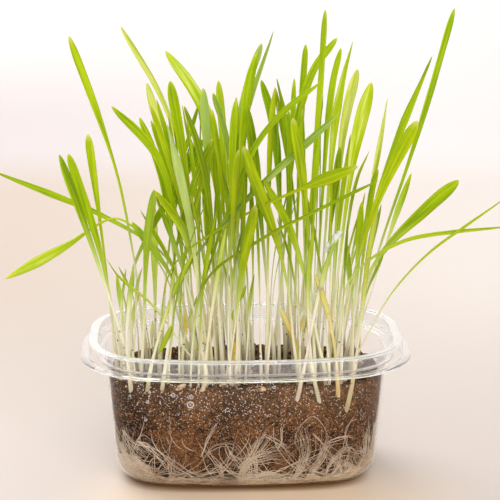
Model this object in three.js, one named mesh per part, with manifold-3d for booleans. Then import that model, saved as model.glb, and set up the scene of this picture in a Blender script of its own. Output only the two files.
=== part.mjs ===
// Wheatgrass tray: a clear plastic food tub of potting soil, thickly sown with wheat, whose blades
// stand some 150 mm above it. Millimetres, +Z up. The origin is the middle of the tub's underside,
// +X runs along the tub and -Y is its front.
import * as THREE from "three";
import { mergeVertices } from "three/addons/utils/BufferGeometryUtils.js";
import Module from "manifold-3d";

const wasm = await Module();
wasm.setup();

// ---------------------------------------------------------------- driving dimensions

// The tub's outline, at the outer edge of its flange: bulged sides that run into round corners.
const TUB_HALF_LENGTH = 86;
const TUB_HALF_WIDTH = 59;
const LONG_SIDE_RADIUS = 300;
const SHORT_SIDE_RADIUS = 1000;
const CORNER_RADIUS = 44;

// Up the tub. The ledge carries the lid, and the lip stands round it.
const RIM_HEIGHT = 75.3;
const LEDGE_HEIGHT = 66.9;
const WALL = 1;
const FOOT_RADIUS = 13;
const WALL_TAPER = 0.078;

// Across the rim, each measured inwards from the edge of the flange.
const SKIRT_INSET = 4.2;
const LIP_INSET = 9.5;
const BODY_INSET = 12.5;

const FIT_GAP = 0.3;

const SOIL_HEIGHT = 57;
const SOIL_WAVE = 0.9;
const ROOT_FELT_TOP = 9;
const ROOT_ZONE_TOP = 38;
const ROOT_ZONE_DEPTH = 2.6;
const ROOT_STRANDS = 32;
const ROOT_THICKNESS = 1.3;

const CROWN_DEPTH = 8;
const CROWN_THICKNESS = 2.5;
const STEM_OFFSET = 2;
const STEM_THICKNESS = 2.6;
const BLADE_THICKNESS = 1.3;
const ROUND_TIP_LENGTH = 7;
const POINTED_TIP_LENGTH = 35;

// The leading shoot of each tuft: where it leaves the soil, its blade's width, and the points that
// it passes on its way, the last one its tip.
const LEADERS = [
  // the left edge, with the tall thin blades and the two that reach far out
  { root: [-54, 0], width: 4.5, path: [[-65, -7, 158], [-87, -12, 231]] },
  { root: [-65, -31], width: 4, path: [[-77, -40, 132], [-91, -46, 179]] },
  { root: [-61, -22], width: 4.5, path: [[-74, -35, 131], [-87, -40, 178]] },
  { root: [-67, -14], width: 4, path: [[-73, -12, 128], [-79, -10, 182]] },
  { root: [-24, 6], width: 4, path: [[-40, 1, 115], [-64, -2, 134], [-131, -8, 165]], pointed: true },
  {
    root: [-26, -12],
    width: 6,
    path: [[-49, -17, 126], [-67, -19, 141], [-93, -21, 126], [-122, -23, 111]],
  },
  { root: [-23, -30], width: 3, path: [[-49, -36, 102], [-64, -38, 116], [-70, -40, 126]], pointed: true },
  { root: [-58, -34], width: 4.5, path: [[-51, -38, 134], [-46, -40, 160]] },
  { root: [-61, -6], width: 5.5, path: [[-57, -1, 111], [-38, 3, 145], [-21, 6, 176]] },
  { root: [-49, 10], width: 5, path: [[-53, 9, 88], [-50, 8, 116]] },
  // left of the middle, fanning out to the left
  { root: [-12, 24], width: 3.5, path: [[-38, 31, 183], [-63, 34, 230]] },
  { root: [-26, -14], width: 4.5, path: [[-43, -24, 171], [-66, -28, 199]] },
  { root: [-30, 2], width: 4, path: [[-43, -1, 162], [-53, -2, 189]] },
  { root: [-9, 10], width: 4, path: [[-38, 16, 154], [-48, 18, 184]] },
  { root: [-23, 30], width: 4, path: [[-41, 36, 162], [-50, 38, 200]] },
  { root: [3, 14], width: 6.5, path: [[-20, 19, 188], [-40, 20, 219]] },
  { root: [-21, -8], width: 4.5, path: [[-30, -12, 169], [-37, -14, 209]] },
  { root: [-17, -22], width: 4.5, path: [[-30, -31, 134], [-45, -34, 158]] },
  { root: [-11, -26], width: 4.5, path: [[-22, -32, 169], [-31, -34, 200]] },
  { root: [-45, 18], width: 3, path: [[-34, 27, 152], [-23, 30, 190]] },
  { root: [-16, -2], width: 4.5, path: [[-19, -5, 170], [-21, -6, 204]] },
  { root: [-5, 22], width: 4, path: [[-11, 25, 174], [-13, 26, 203]] },
  { root: [2, -4], width: 3.5, path: [[-8, -7, 175], [-16, -8, 202]] },
  { root: [-8, -34], width: 4, path: [[-8, -39, 174], [-6, -40, 204]] },
  // the middle, tall and close
  { root: [-21, 4], width: 3.5, path: [[-1, 11, 181], [15, 14, 230]], pointed: true },
  { root: [-16, 20], width: 4, path: [[0, 30, 189], [10, 32, 221]] },
  { root: [-10, -12], width: 4.5, path: [[0, -15, 203], [5, -16, 223]] },
  { root: [22, 12], width: 4.5, path: [[16, 14, 179], [9, 14, 205]] },
  { root: [27, 2], width: 4, path: [[21, 0, 184], [16, 0, 208]], pointed: true },
  { root: [9, -30], width: 4, path: [[11, -35, 183], [13, -36, 209]] },
  { root: [26, 30], width: 3.5, path: [[31, 35, 186], [33, 36, 220]] },
  { root: [29, -6], width: 4.5, path: [[37, -9, 201], [39, -10, 243]] },
  { root: [14, 6], width: 4, path: [[33, 19, 203], [48, 22, 225]] },
  { root: [37, 26], width: 4, path: [[46, 35, 196], [51, 36, 218]] },
  { root: [16, -14], width: 5.5, path: [[4, -20, 170], [0, -22, 198]] },
  { root: [26, -36], width: 9, path: [[18, -41, 123], [-3, -46, 182]] },
  { root: [-8, -38], width: 6, path: [[-3, -45, 126], [3, -48, 154]] },
  { root: [33, -34], width: 6, path: [[26, -40, 164], [21, -42, 195]] },
  { root: [40, -36], width: 4, path: [[22, -37, 133], [7, -38, 164]] },
  // long blades from the left that lie across the front
  { root: [-37, -27], width: 4, path: [[8, -39, 188], [35, -44, 213]] },
  {
    root: [-43, -21],
    width: 6,
    path: [[-40, -22, 112], [-25, -24, 129], [10, -32, 151], [52, -42, 171]],
  },
  {
    root: [-41, -34],
    width: 5.5,
    path: [[-36, -36, 106], [-27, -38, 124], [-3, -45, 154], [44, -54, 200]],
  },
  {
    root: [-27, -38],
    width: 3.5,
    path: [[-24, -41, 108], [-11, -43, 124], [25, -51, 147], [62, -56, 167]],
  },
  // right of the middle
  { root: [39, 8], width: 6, path: [[48, 10, 194], [55, 10, 225]], pointed: true },
  { root: [41, -16], width: 4.5, path: [[48, -24, 188], [54, -26, 216]] },
  { root: [43, -28], width: 6, path: [[52, -39, 179], [59, -42, 212]] },
  { root: [51, 24], width: 4.5, path: [[60, 29, 148], [67, 30, 165]] },
  { root: [54, -20], width: 3.5, path: [[56, -25, 138], [57, -26, 150]] },
  // the right edge, fanning out to the right
  { root: [58, 28], width: 3.5, path: [[73, 38, 166], [77, 40, 191]], pointed: true },
  { root: [60, 28], width: 3.5, path: [[69, 35, 142], [72, 36, 154]] },
  { root: [51, 14], width: 5, path: [[76, 22, 159], [98, 26, 215]], pointed: true },
  { root: [49, -22], width: 7, path: [[53, -28, 107], [67, -35, 159], [82, -40, 193]] },
  { root: [58, 4], width: 3.5, path: [[72, 6, 122], [90, 8, 180], [106, 10, 241]] },
  { root: [59, 18], width: 4.5, path: [[80, 30, 125], [90, 34, 152]] },
  { root: [53, -12], width: 8, path: [[64, -18, 113], [87, -21, 141], [106, -24, 160]] },
  { root: [45, -32], width: 3.5, path: [[53, -31, 114], [76, -31, 130], [134, -30, 138]], pointed: true },
  { root: [54, -26], width: 3.5, path: [[64, -28, 86], [82, -31, 116], [132, -36, 157]], pointed: true },
];

// ---------------------------------------------------------------- shared shapes

const COLOURS = {
  tub: new THREE.MeshStandardMaterial({
    color: 0xeef2f4,
    roughness: 0.15,
    metalness: 0,
    transparent: true,
    opacity: 0.35,
  }),
  soil: new THREE.MeshStandardMaterial({ color: 0x4b3322, roughness: 0.95, metalness: 0 }),
  roots: new THREE.MeshStandardMaterial({ color: 0xcdb894, roughness: 0.8, metalness: 0 }),
  shoots: new THREE.MeshStandardMaterial({ color: 0x86ad1e, roughness: 0.5, metalness: 0 }),
};

const part = new THREE.Group();

// The same draws on every run, each from 0 up to 1.
function seededDraws(seed) {
  let state = seed;
  return () => {
    state = (state + 0x6d2b79f5) | 0;
    let t = Math.imul(state ^ (state >>> 15), 1 | state);
    t = (t + Math.imul(t ^ (t >>> 7), 61 | t)) ^ t;
    return ((t ^ (t >>> 14)) >>> 0) / 4294967296;
  };
}

function smoothStep(from, to, value) {
  return THREE.MathUtils.smoothstep(value, from, to);
}

// A closed skin over rings of equally many points, each anticlockwise when seen from the ring that
// follows it. The skin is drawn together at both ends, in the points first and last.
function loft(rings, first, last) {
  const sides = rings[0].length;
  const positions = rings.flat().concat(first, last).flatMap((p) => [p.x, p.y, p.z]);
  const firstIndex = rings.length * sides;
  const lastIndex = firstIndex + 1;
  const topRing = (rings.length - 1) * sides;
  const index = [];
  for (let i = 0; i < sides; i++) {
    const next = (i + 1) % sides;
    index.push(firstIndex, next, i);
    for (let lower = 0; lower < topRing; lower += sides) {
      const upper = lower + sides;
      index.push(lower + i, lower + next, upper + next);
      index.push(lower + i, upper + next, upper + i);
    }
    index.push(lastIndex, topRing + i, topRing + next);
  }
  const geometry = new THREE.BufferGeometry();
  geometry.setAttribute("position", new THREE.Float32BufferAttribute(positions, 3));
  geometry.setIndex(index);
  return geometry;
}

function solidOf(geometry) {
  const bare = geometry.clone();
  bare.deleteAttribute("normal");
  bare.deleteAttribute("uv");
  const merged = mergeVertices(bare, 1e-4);
  return new wasm.Manifold(
    new wasm.Mesh({
      numProp: 3,
      vertProperties: new Float32Array(merged.attributes.position.array),
      triVerts: new Uint32Array(merged.index.array),
    }),
  );
}

function geometryOf(solid) {
  const mesh = solid.getMesh();
  const geometry = new THREE.BufferGeometry();
  geometry.setAttribute("position", new THREE.BufferAttribute(mesh.vertProperties, 3));
  geometry.setIndex(new THREE.BufferAttribute(mesh.triVerts, 1));
  geometry.computeVertexNormals();
  return geometry;
}

function addPart(name, geometry, material) {
  const mesh = new THREE.Mesh(geometry, material);
  mesh.name = name;
  part.add(mesh);
}

// ---------------------------------------------------------------- the tub's outline

const longCentre = new THREE.Vector2(0, TUB_HALF_WIDTH - LONG_SIDE_RADIUS);
const shortCentre = new THREE.Vector2(TUB_HALF_LENGTH - SHORT_SIDE_RADIUS, 0);

// Of the two points where two circles meet, the one to the left of the way from b to a.
function circlesMeet(a, radiusA, b, radiusB) {
  const between = b.clone().sub(a);
  const distance = between.length();
  const along = (radiusA ** 2 - radiusB ** 2 + distance ** 2) / (2 * distance);
  const across = Math.sqrt(radiusA ** 2 - along ** 2);
  const way = between.divideScalar(distance);
  return new THREE.Vector2(a.x + way.x * along + way.y * across, a.y + way.y * along - way.x * across);
}

const cornerCentre = circlesMeet(
  longCentre,
  LONG_SIDE_RADIUS - CORNER_RADIUS,
  shortCentre,
  SHORT_SIDE_RADIUS - CORNER_RADIUS,
);
// Where the corner's arc starts, at the short side, and ends, at the long side.
const cornerStart = Math.atan2(cornerCentre.y, cornerCentre.x - shortCentre.x);
const cornerEnd = Math.atan2(cornerCentre.y - longCentre.y, cornerCentre.x);

const SHORT_SIDE_STEPS = 2;
const LONG_SIDE_STEPS = 6;
const CORNER_STEPS = 6;

// Points round the flange's edge, anticlockwise, each with its outward direction.
function makeOutline() {
  const points = [];
  const addArc = (centreX, centreY, radius, from, to, steps) => {
    for (let i = 0; i < steps; i++) {
      const angle = THREE.MathUtils.lerp(from, to, i / steps);
      const out = new THREE.Vector2(Math.cos(angle), Math.sin(angle));
      const at = new THREE.Vector2(centreX + radius * out.x, centreY + radius * out.y);
      points.push({ at, out });
    }
  };
  const { x, y } = cornerCentre;
  for (const start of [0, Math.PI]) {
    const end = start + Math.PI;
    const sign = start === 0 ? 1 : -1;
    const turns = [-cornerStart, cornerStart, cornerEnd].map((angle) => start + angle);
    addArc(sign * shortCentre.x, 0, SHORT_SIDE_RADIUS, turns[0], turns[1], SHORT_SIDE_STEPS);
    addArc(sign * x, sign * y, CORNER_RADIUS, turns[1], turns[2], CORNER_STEPS);
    addArc(0, sign * longCentre.y, LONG_SIDE_RADIUS, turns[2], end - cornerEnd, LONG_SIDE_STEPS);
    addArc(-sign * x, sign * y, CORNER_RADIUS, end - cornerEnd, end - cornerStart, CORNER_STEPS);
  }
  return points;
}

const outline = makeOutline();

// The outline moved inwards, at a height that may change from point to point.
function ring(inset, height) {
  return outline.map(({ at, out }) => {
    const x = at.x - inset * out.x;
    const y = at.y - inset * out.y;
    return new THREE.Vector3(x, y, typeof height === "function" ? height(x, y) : height);
  });
}

// How far inwards from the flange's edge a point lies, less than 0 outside it.
function insetOf(x, y) {
  const here = new THREE.Vector2(Math.abs(x), Math.abs(y));
  const fromCorner = here.clone().sub(cornerCentre);
  const angle = Math.atan2(fromCorner.y, fromCorner.x);
  if (angle > cornerStart && angle < cornerEnd) return CORNER_RADIUS - fromCorner.length();
  return Math.min(
    LONG_SIDE_RADIUS - here.distanceTo(longCentre),
    SHORT_SIDE_RADIUS - here.distanceTo(shortCentre),
  );
}

// ---------------------------------------------------------------- the tub

// The inset of the tub's inner or outer face, measured at a height. The foot is a quarter round.
function bodyInset(height) {
  return BODY_INSET + WALL_TAPER * (LEDGE_HEIGHT - height);
}

const footInset = bodyInset(FOOT_RADIUS) + FOOT_RADIUS;

function innerInset(height) {
  if (height > FOOT_RADIUS) return bodyInset(height) + WALL;
  const radius = FOOT_RADIUS - WALL;
  return footInset - Math.sqrt(radius ** 2 - (FOOT_RADIUS - height) ** 2);
}

const FOOT_STEP = 21;

// Rings round the foot's quarter round, from the flat underside up.
function footRings(radius, steps) {
  const rings = [];
  for (let i = 0; i <= steps; i++) {
    const angle = THREE.MathUtils.degToRad(FOOT_STEP * i);
    rings.push(ring(footInset - radius * Math.sin(angle), FOOT_RADIUS - radius * Math.cos(angle)));
  }
  return rings;
}

function makeTub() {
  const round = WALL / 2;
  const underLedge = LEDGE_HEIGHT - WALL;
  const skirtInside = SKIRT_INSET + WALL;
  const lipOutside = LIP_INSET - WALL;
  const rings = [
    ...footRings(FOOT_RADIUS, 4),
    ring(BODY_INSET, underLedge),
    ring(lipOutside, underLedge),
    ring(lipOutside, RIM_HEIGHT - WALL),
    ring(skirtInside, RIM_HEIGHT - WALL),
    ring(skirtInside, underLedge),
    ring(round, underLedge),
    ring(0, underLedge + round),
    ring(round, LEDGE_HEIGHT),
    ring(SKIRT_INSET, LEDGE_HEIGHT + round),
    ring(SKIRT_INSET, RIM_HEIGHT - round),
    ring(SKIRT_INSET + round, RIM_HEIGHT),
    ring(LIP_INSET - round, RIM_HEIGHT),
    ring(LIP_INSET, RIM_HEIGHT - round),
    ring(LIP_INSET, LEDGE_HEIGHT),
    ring(BODY_INSET + WALL, LEDGE_HEIGHT),
    ...footRings(FOOT_RADIUS - WALL, 4).reverse(),
  ];
  return loft(rings, new THREE.Vector3(0, 0, 0), new THREE.Vector3(0, 0, WALL));
}

addPart("tub", makeTub(), COLOURS.tub);

// ---------------------------------------------------------------- the shoots' places

const draw = seededDraws(7);
const between = (low, high) => THREE.MathUtils.lerp(low, high, draw());

// A tuft is one plant: a leading shoot and a second one, which rise from a crown under the soil. In
// the middle of the tub, where the sowing is thick, some tufts have a third.
const THICK_SOWING = 40;
const THIRD_SHARE = 0.55;
const tufts = LEADERS.map(({ root, width, path, pointed = false }) => ({
  middle: new THREE.Vector2(...root),
  turned: between(0, Math.PI),
  stems: Math.abs(root[0]) < THICK_SOWING && draw() < THIRD_SHARE ? 3 : 2,
  width,
  path: path.map((point) => new THREE.Vector3(...point)),
  pointed,
}));

// Where a tuft's stems leave the soil, evenly round its middle.
function stemPlaces({ middle, turned, stems }) {
  return Array.from({ length: stems }, (_, i) => {
    const angle = turned + (2 * Math.PI * i) / stems;
    return new THREE.Vector2(Math.cos(angle), Math.sin(angle)).multiplyScalar(STEM_OFFSET).add(middle);
  });
}

// Pushes a point inwards until it lies at least this far in from the flange's edge.
function keepInside(point, inset) {
  const short = inset - insetOf(point.x, point.y);
  if (short <= 0) return;
  const step = 0.1;
  const slopeX = (insetOf(point.x + step, point.y) - insetOf(point.x - step, point.y)) / (2 * step);
  const slopeY = (insetOf(point.x, point.y + step) - insetOf(point.x, point.y - step)) / (2 * step);
  point.x += short * slopeX;
  point.y += short * slopeY;
}

const STEM_ROOM = 5.4;
const TUFT_ROOM = 5.5;
const SPREADING_PASSES = 200;

// Moves the tufts apart until soil is left between the holes that they stand in.
function spreadTufts() {
  for (let pass = 0; pass < SPREADING_PASSES; pass++) {
    tufts.forEach((tuft, i) => {
      for (const other of tufts.slice(i + 1)) {
        for (const a of stemPlaces(tuft)) {
          for (const b of stemPlaces(other)) {
            const apart = a.clone().sub(b);
            const distance = apart.length();
            if (distance >= STEM_ROOM) continue;
            apart.multiplyScalar((0.25 * (STEM_ROOM - distance)) / Math.max(distance, 0.01));
            tuft.middle.add(apart);
            other.middle.sub(apart);
          }
        }
      }
      keepInside(tuft.middle, innerInset(SOIL_HEIGHT) + TUFT_ROOM);
    });
  }
}

spreadTufts();

// ---------------------------------------------------------------- the shoots

const CROWN_HEIGHT = SOIL_HEIGHT - CROWN_DEPTH;
const SURFACE_CLEAR = 4;
const RIM_CLEAR = 4.7;
const OPENING_FROM = 0.3;
const OPENING_TO = 0.82;
const FLATTENING_FROM = 0.25;
const FLATTENING_TO = 0.65;
const FOLD_DEPTH = 0.25;
const LEADER = { firmness: 0.7, bends: 5, turn: 32 };
const LESSER = { firmness: 0.2, bends: 3, turn: 80 };

// A level direction, turned from the front by an angle in degrees, that a blade's flat side faces.
function facingAt(degrees) {
  const angle = THREE.MathUtils.degToRad(degrees);
  return new THREE.Vector3(Math.sin(angle), -Math.cos(angle), 0);
}

// A shoot is a line of stations from its crown to its tip. Each has a place, a half width, a half
// thickness and the depth of the fold along the blade. A firm shoot gives way less to the others.
function makeShoot({ stem, path, width, pointed }, { firmness, bends, turn }) {
  const facing = facingAt(between(-turn, turn));
  const foot = new THREE.Vector3(stem.x, stem.y, CROWN_HEIGHT + CROWN_THICKNESS / 2);
  const collar = new THREE.Vector3(stem.x, stem.y, SOIL_HEIGHT + SURFACE_CLEAR);
  const curve = new THREE.CatmullRomCurve3([collar, ...path], false, "centripetal");
  const length = curve.getLength();
  const rimAt = RIM_HEIGHT + RIM_CLEAR - collar.z;
  const bladeEnd = length - ROUND_TIP_LENGTH;
  const distances = [0, rimAt];
  for (let i = 1; i <= bends; i++) {
    distances.push(THREE.MathUtils.lerp(rimAt, bladeEnd, Math.sin((0.5 * Math.PI * i) / bends) ** 1.1));
  }
  distances.push(length - 0.3 * ROUND_TIP_LENGTH, length);
  const stations = distances.map((distance) => {
    const share = distance / length;
    const opened = smoothStep(OPENING_FROM, OPENING_TO, share);
    const flattened = smoothStep(FLATTENING_FROM, FLATTENING_TO, share);
    const toTip = Math.min(1, (length - distance) / ROUND_TIP_LENGTH);
    const roundTaper = Math.sqrt(toTip * (2 - toTip));
    const pointedTaper = Math.min(1, (length - distance) / POINTED_TIP_LENGTH) ** 0.7;
    const taper = pointed ? pointedTaper : roundTaper;
    const half = THREE.MathUtils.lerp(STEM_THICKNESS, width, opened) / 2;
    const thickness = THREE.MathUtils.lerp(STEM_THICKNESS, BLADE_THICKNESS, flattened);
    return {
      place: curve.getPointAt(share),
      halfWidth: half * taper,
      halfThickness: (thickness / 2) * (0.7 + 0.3 * toTip),
      fold: FOLD_DEPTH * half * taper * opened,
    };
  });
  stations.unshift({ ...stations[0], place: foot });
  const first = stations.map((station) => station.place.clone());
  return { stations, first, facing, firmness };
}

const LESSER_HEIGHTS = [85, 145];
const LESSER_LEAN = 45;
const LESSER_WIDTHS = [3, 5.5];
const LESSER_POINTED = 0.4;

// The way of a tuft's other shoots: shorter and more upright than the leading one. Near the ends of
// the tub, where the sowing is thin, they are hardly more than stems.
function lesserPath(stem, leaderTip) {
  const thin = smoothStep(38, 62, Math.abs(stem.x));
  const height = between(...LESSER_HEIGHTS) * (1 - 0.5 * thin);
  const lean = THREE.MathUtils.clamp(leaderTip.x - stem.x, -LESSER_LEAN, LESSER_LEAN);
  const reachX = 0.4 * lean * (1 - thin) + between(-14, 14);
  const reachY = 0.5 * (leaderTip.y - stem.y) + between(-16, 16);
  const bend = between(0.25, 0.45);
  return [
    new THREE.Vector3(stem.x + bend * reachX, stem.y + bend * reachY, SOIL_HEIGHT + 0.6 * height),
    new THREE.Vector3(stem.x + reachX, stem.y + reachY, SOIL_HEIGHT + height),
  ];
}

for (const tuft of tufts) {
  const { width, path, pointed } = tuft;
  const [leaderStem, ...otherStems] = stemPlaces(tuft);
  const leader = { stem: leaderStem, path, width, pointed };
  const others = otherStems.map((stem) => ({
    stem,
    path: lesserPath(stem, path.at(-1)),
    width: between(...LESSER_WIDTHS),
    pointed: draw() < LESSER_POINTED,
  }));
  tuft.shoots = [
    makeShoot(leader, LEADER),
    ...others.map((other) => makeShoot(other, LESSER)),
  ];
}

const shoots = tufts.flatMap((tuft) => tuft.shoots);

// The blade's own directions at each station: along it, across it and out of its flat side.
function turnFrames(shoot) {
  const { stations, facing } = shoot;
  stations.forEach((station, i) => {
    const before = stations[Math.max(i - 1, 0)].place;
    const after = stations[Math.min(i + 1, stations.length - 1)].place;
    station.along = after.clone().sub(before).normalize();
    station.across = facing.clone().cross(station.along).normalize();
    station.out = station.along.clone().cross(station.across);
  });
}

// How far along each of two segments, from 0 to 1, they come closest.
function closestShares(a0, a1, b0, b1) {
  const d1 = a1.clone().sub(a0);
  const d2 = b1.clone().sub(b0);
  const r = a0.clone().sub(b0);
  const a = d1.dot(d1);
  const e = d2.dot(d2);
  const b = d1.dot(d2);
  const c = d1.dot(r);
  const f = d2.dot(r);
  const denominator = a * e - b * b;
  const clamp = THREE.MathUtils.clamp;
  let s = denominator > 1e-6 ? clamp((b * f - c * e) / denominator, 0, 1) : 0.5;
  let t = (b * s + f) / e;
  if (t < 0 || t > 1) {
    t = clamp(t, 0, 1);
    s = clamp((b * t - c) / a, 0, 1);
  }
  return [s, t];
}

// How far a blade reaches out from its middle line in a direction.
function reachOf(lower, upper, share, way) {
  const halfWidth = THREE.MathUtils.lerp(lower.halfWidth, upper.halfWidth, share);
  const halfThickness = THREE.MathUtils.lerp(lower.halfThickness, upper.halfThickness, share);
  const fold = THREE.MathUtils.lerp(lower.fold, upper.fold, share);
  return Math.hypot(halfWidth * way.dot(lower.across), (halfThickness + fold) * way.dot(lower.out));
}

const BLADE_GAP = 0.9;
const BLADE_REACH = 7;
const CLEARING_PASSES = 120;
const PUSH_WEIGHTS = new THREE.Vector3(0.6, 1.2, 0.4);
const EASING = 0.12;

// Pushes two segments apart where their blades come too close, each by its share of firmness.
function pushSegments(shootA, i, shootB, j) {
  const [a0, a1] = [shootA.stations[i], shootA.stations[i + 1]];
  const [b0, b1] = [shootB.stations[j], shootB.stations[j + 1]];
  const [s, t] = closestShares(a0.place, a1.place, b0.place, b1.place);
  const onA = a0.place.clone().lerp(a1.place, s);
  const onB = b0.place.clone().lerp(b1.place, t);
  const way = onA.sub(onB);
  const distance = way.length();
  if (distance < 0.01) way.set(0, 1, 0);
  else way.divideScalar(distance);
  const wanted = reachOf(a0, a1, s, way) + reachOf(b0, b1, t, way) + BLADE_GAP;
  if (distance >= wanted) return;
  // The move is larger from front to back than sideways, so that the blades keep their fan.
  way.multiply(PUSH_WEIGHTS);
  const push = 0.5 * (wanted - distance);
  const shareA = (1 - shootA.firmness) / (2 - shootA.firmness - shootB.firmness);
  a0.push.addScaledVector(way, push * shareA * (1 - s));
  a1.push.addScaledVector(way, push * shareA * s);
  b0.push.addScaledVector(way, -push * (1 - shareA) * (1 - t));
  b1.push.addScaledVector(way, -push * (1 - shareA) * t);
}

function farApart(shootA, i, shootB, j) {
  const a = shootA.stations[i].place.clone().add(shootA.stations[i + 1].place);
  const b = shootB.stations[j].place.clone().add(shootB.stations[j + 1].place);
  const reach = shootA.lengths[i] + shootB.lengths[j] + 2 * BLADE_REACH;
  return a.distanceTo(b) > reach;
}

// Keeps a station inside the wall and the lip as long as it is no higher than just above the rim.
function keepInTub(station) {
  if (station.place.z > RIM_HEIGHT + 2 * RIM_CLEAR) return;
  keepInside(station.place, innerInset(station.place.z) + station.halfWidth + 0.8);
}

// Bends the blades clear of each other. The stem up to its collar stays where it is.
function clearShoots() {
  for (let pass = 0; pass < CLEARING_PASSES; pass++) {
    for (const shoot of shoots) {
      turnFrames(shoot);
      shoot.stations.forEach((station) => (station.push = new THREE.Vector3()));
      shoot.lengths = shoot.stations
        .slice(1)
        .map((station, i) => station.place.distanceTo(shoot.stations[i].place));
    }
    shoots.forEach((shootA, a) => {
      for (const shootB of shoots.slice(a + 1)) {
        for (let i = 0; i < shootA.lengths.length; i++) {
          for (let j = 0; j < shootB.lengths.length; j++) {
            if (!farApart(shootA, i, shootB, j)) pushSegments(shootA, i, shootB, j);
          }
        }
      }
    });
    for (const shoot of shoots) {
      const moves = shoot.stations.map((s, i) => s.place.clone().add(s.push).sub(shoot.first[i]));
      for (let i = 2; i < shoot.stations.length; i++) {
        const lower = moves[i - 1];
        const upper = moves[Math.min(i + 1, moves.length - 1)];
        const eased = lower.clone().add(upper).multiplyScalar(0.5);
        shoot.stations[i].place.copy(shoot.first[i]).add(moves[i].clone().lerp(eased, EASING));
        keepInTub(shoot.stations[i]);
      }
    }
  }
  shoots.forEach(turnFrames);
}

clearShoots();

// A shoot's section is a lens with a fold down its middle, and down in the stem it is square.
function shootGeometry(shoot) {
  const rings = shoot.stations.slice(0, -1).map((station) => {
    const { place, across, out, halfWidth, halfThickness, fold } = station;
    const at = (sideways, outwards) =>
      place.clone().addScaledVector(across, sideways).addScaledVector(out, outwards);
    return [
      at(halfWidth, 0),
      at(0, halfThickness - fold),
      at(-halfWidth, 0),
      at(0, -halfThickness - fold),
    ];
  });
  return loft(rings, shoot.stations[0].place, shoot.stations.at(-1).place);
}

// A six-sided block round a tuft's stems, with room beside them. It is long where the tuft has two
// stems and regular where it has three.
function tuftBlock({ middle, turned, stems }, room, bottom, height) {
  const side = stems === 3 ? STEM_OFFSET + room : room;
  const end = stems === 3 ? side / Math.cos(Math.PI / 6) : STEM_OFFSET + Math.SQRT2 * room;
  const straight = stems === 3 ? end / 2 : end - room;
  const shape = new THREE.Shape();
  shape.moveTo(end, 0);
  shape.lineTo(straight, side);
  shape.lineTo(-straight, side);
  shape.lineTo(-end, 0);
  shape.lineTo(-straight, -side);
  shape.lineTo(straight, -side);
  const block = new THREE.ExtrudeGeometry(shape, { depth: height, bevelEnabled: false });
  block.rotateZ(turned);
  block.translate(middle.x, middle.y, bottom);
  return block;
}

tufts.forEach((tuft, i) => {
  const crown = solidOf(tuftBlock(tuft, STEM_THICKNESS / 2, CROWN_HEIGHT, CROWN_THICKNESS));
  const solid = tuft.shoots
    .map((shoot) => solidOf(shootGeometry(shoot)))
    .reduce((joined, shoot) => joined.add(shoot), crown);
  addPart("shoots_" + String(i + 1).padStart(2, "0"), geometryOf(solid), COLOURS.shoots);
});

// ---------------------------------------------------------------- the soil

// The soil's top, in low waves.
function soilTop(x, y) {
  const longWave = Math.sin(x / 9 + 0.7) * Math.cos(y / 7);
  const shortWave = 0.6 * Math.sin(x / 4.3 + y / 5.1);
  return SOIL_HEIGHT + SOIL_WAVE * (longWave + shortWave);
}

// The plain hole that a tuft stands in.
function holeGeometry(tuft) {
  const room = STEM_THICKNESS / 2 + 1.3 * FIT_GAP;
  return tuftBlock(tuft, room, CROWN_HEIGHT - 2 * FIT_GAP, 2 * CROWN_DEPTH);
}

function makeSoil() {
  const bottom = ROOT_FELT_TOP + FIT_GAP;
  const middle = FOOT_RADIUS + 1;
  const shoulder = ROOT_ZONE_TOP + 1.5;
  const edge = innerInset(SOIL_HEIGHT - 2 * SOIL_WAVE) + FIT_GAP;
  const rings = [
    ring(innerInset(bottom) + ROOT_ZONE_DEPTH, bottom),
    ring(innerInset(middle) + ROOT_ZONE_DEPTH, middle),
    ring(innerInset(ROOT_ZONE_TOP) + ROOT_ZONE_DEPTH, ROOT_ZONE_TOP),
    ring(innerInset(shoulder) + FIT_GAP, shoulder),
    ...[edge, 21, 28, 36].map((inset) => ring(inset, soilTop)),
  ];
  const block = loft(rings, new THREE.Vector3(0, 0, bottom), new THREE.Vector3(0, 0, soilTop(0, 0)));
  return tufts.reduce((soil, tuft) => soil.subtract(solidOf(holeGeometry(tuft))), solidOf(block));
}

addPart("soil", geometryOf(makeSoil()), COLOURS.soil);

// ---------------------------------------------------------------- the roots

const outlineLengths = outline.map(({ at }, i) => at.distanceTo(outline[(i + 1) % outline.length].at));
const outlineLength = outlineLengths.reduce((sum, length) => sum + length, 0);

// The point at a distance round the outline, moved inwards.
function roundOutline(distance, inset, height) {
  let left = THREE.MathUtils.euclideanModulo(distance, outlineLength);
  let i = 0;
  while (left > outlineLengths[i]) {
    left -= outlineLengths[i];
    i++;
  }
  const share = left / outlineLengths[i];
  const next = outline[(i + 1) % outline.length];
  const at = outline[i].at.clone().lerp(next.at, share);
  const out = outline[i].out.clone().lerp(next.out, share);
  return new THREE.Vector3(at.x - inset * out.x, at.y - inset * out.y, height);
}

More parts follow.
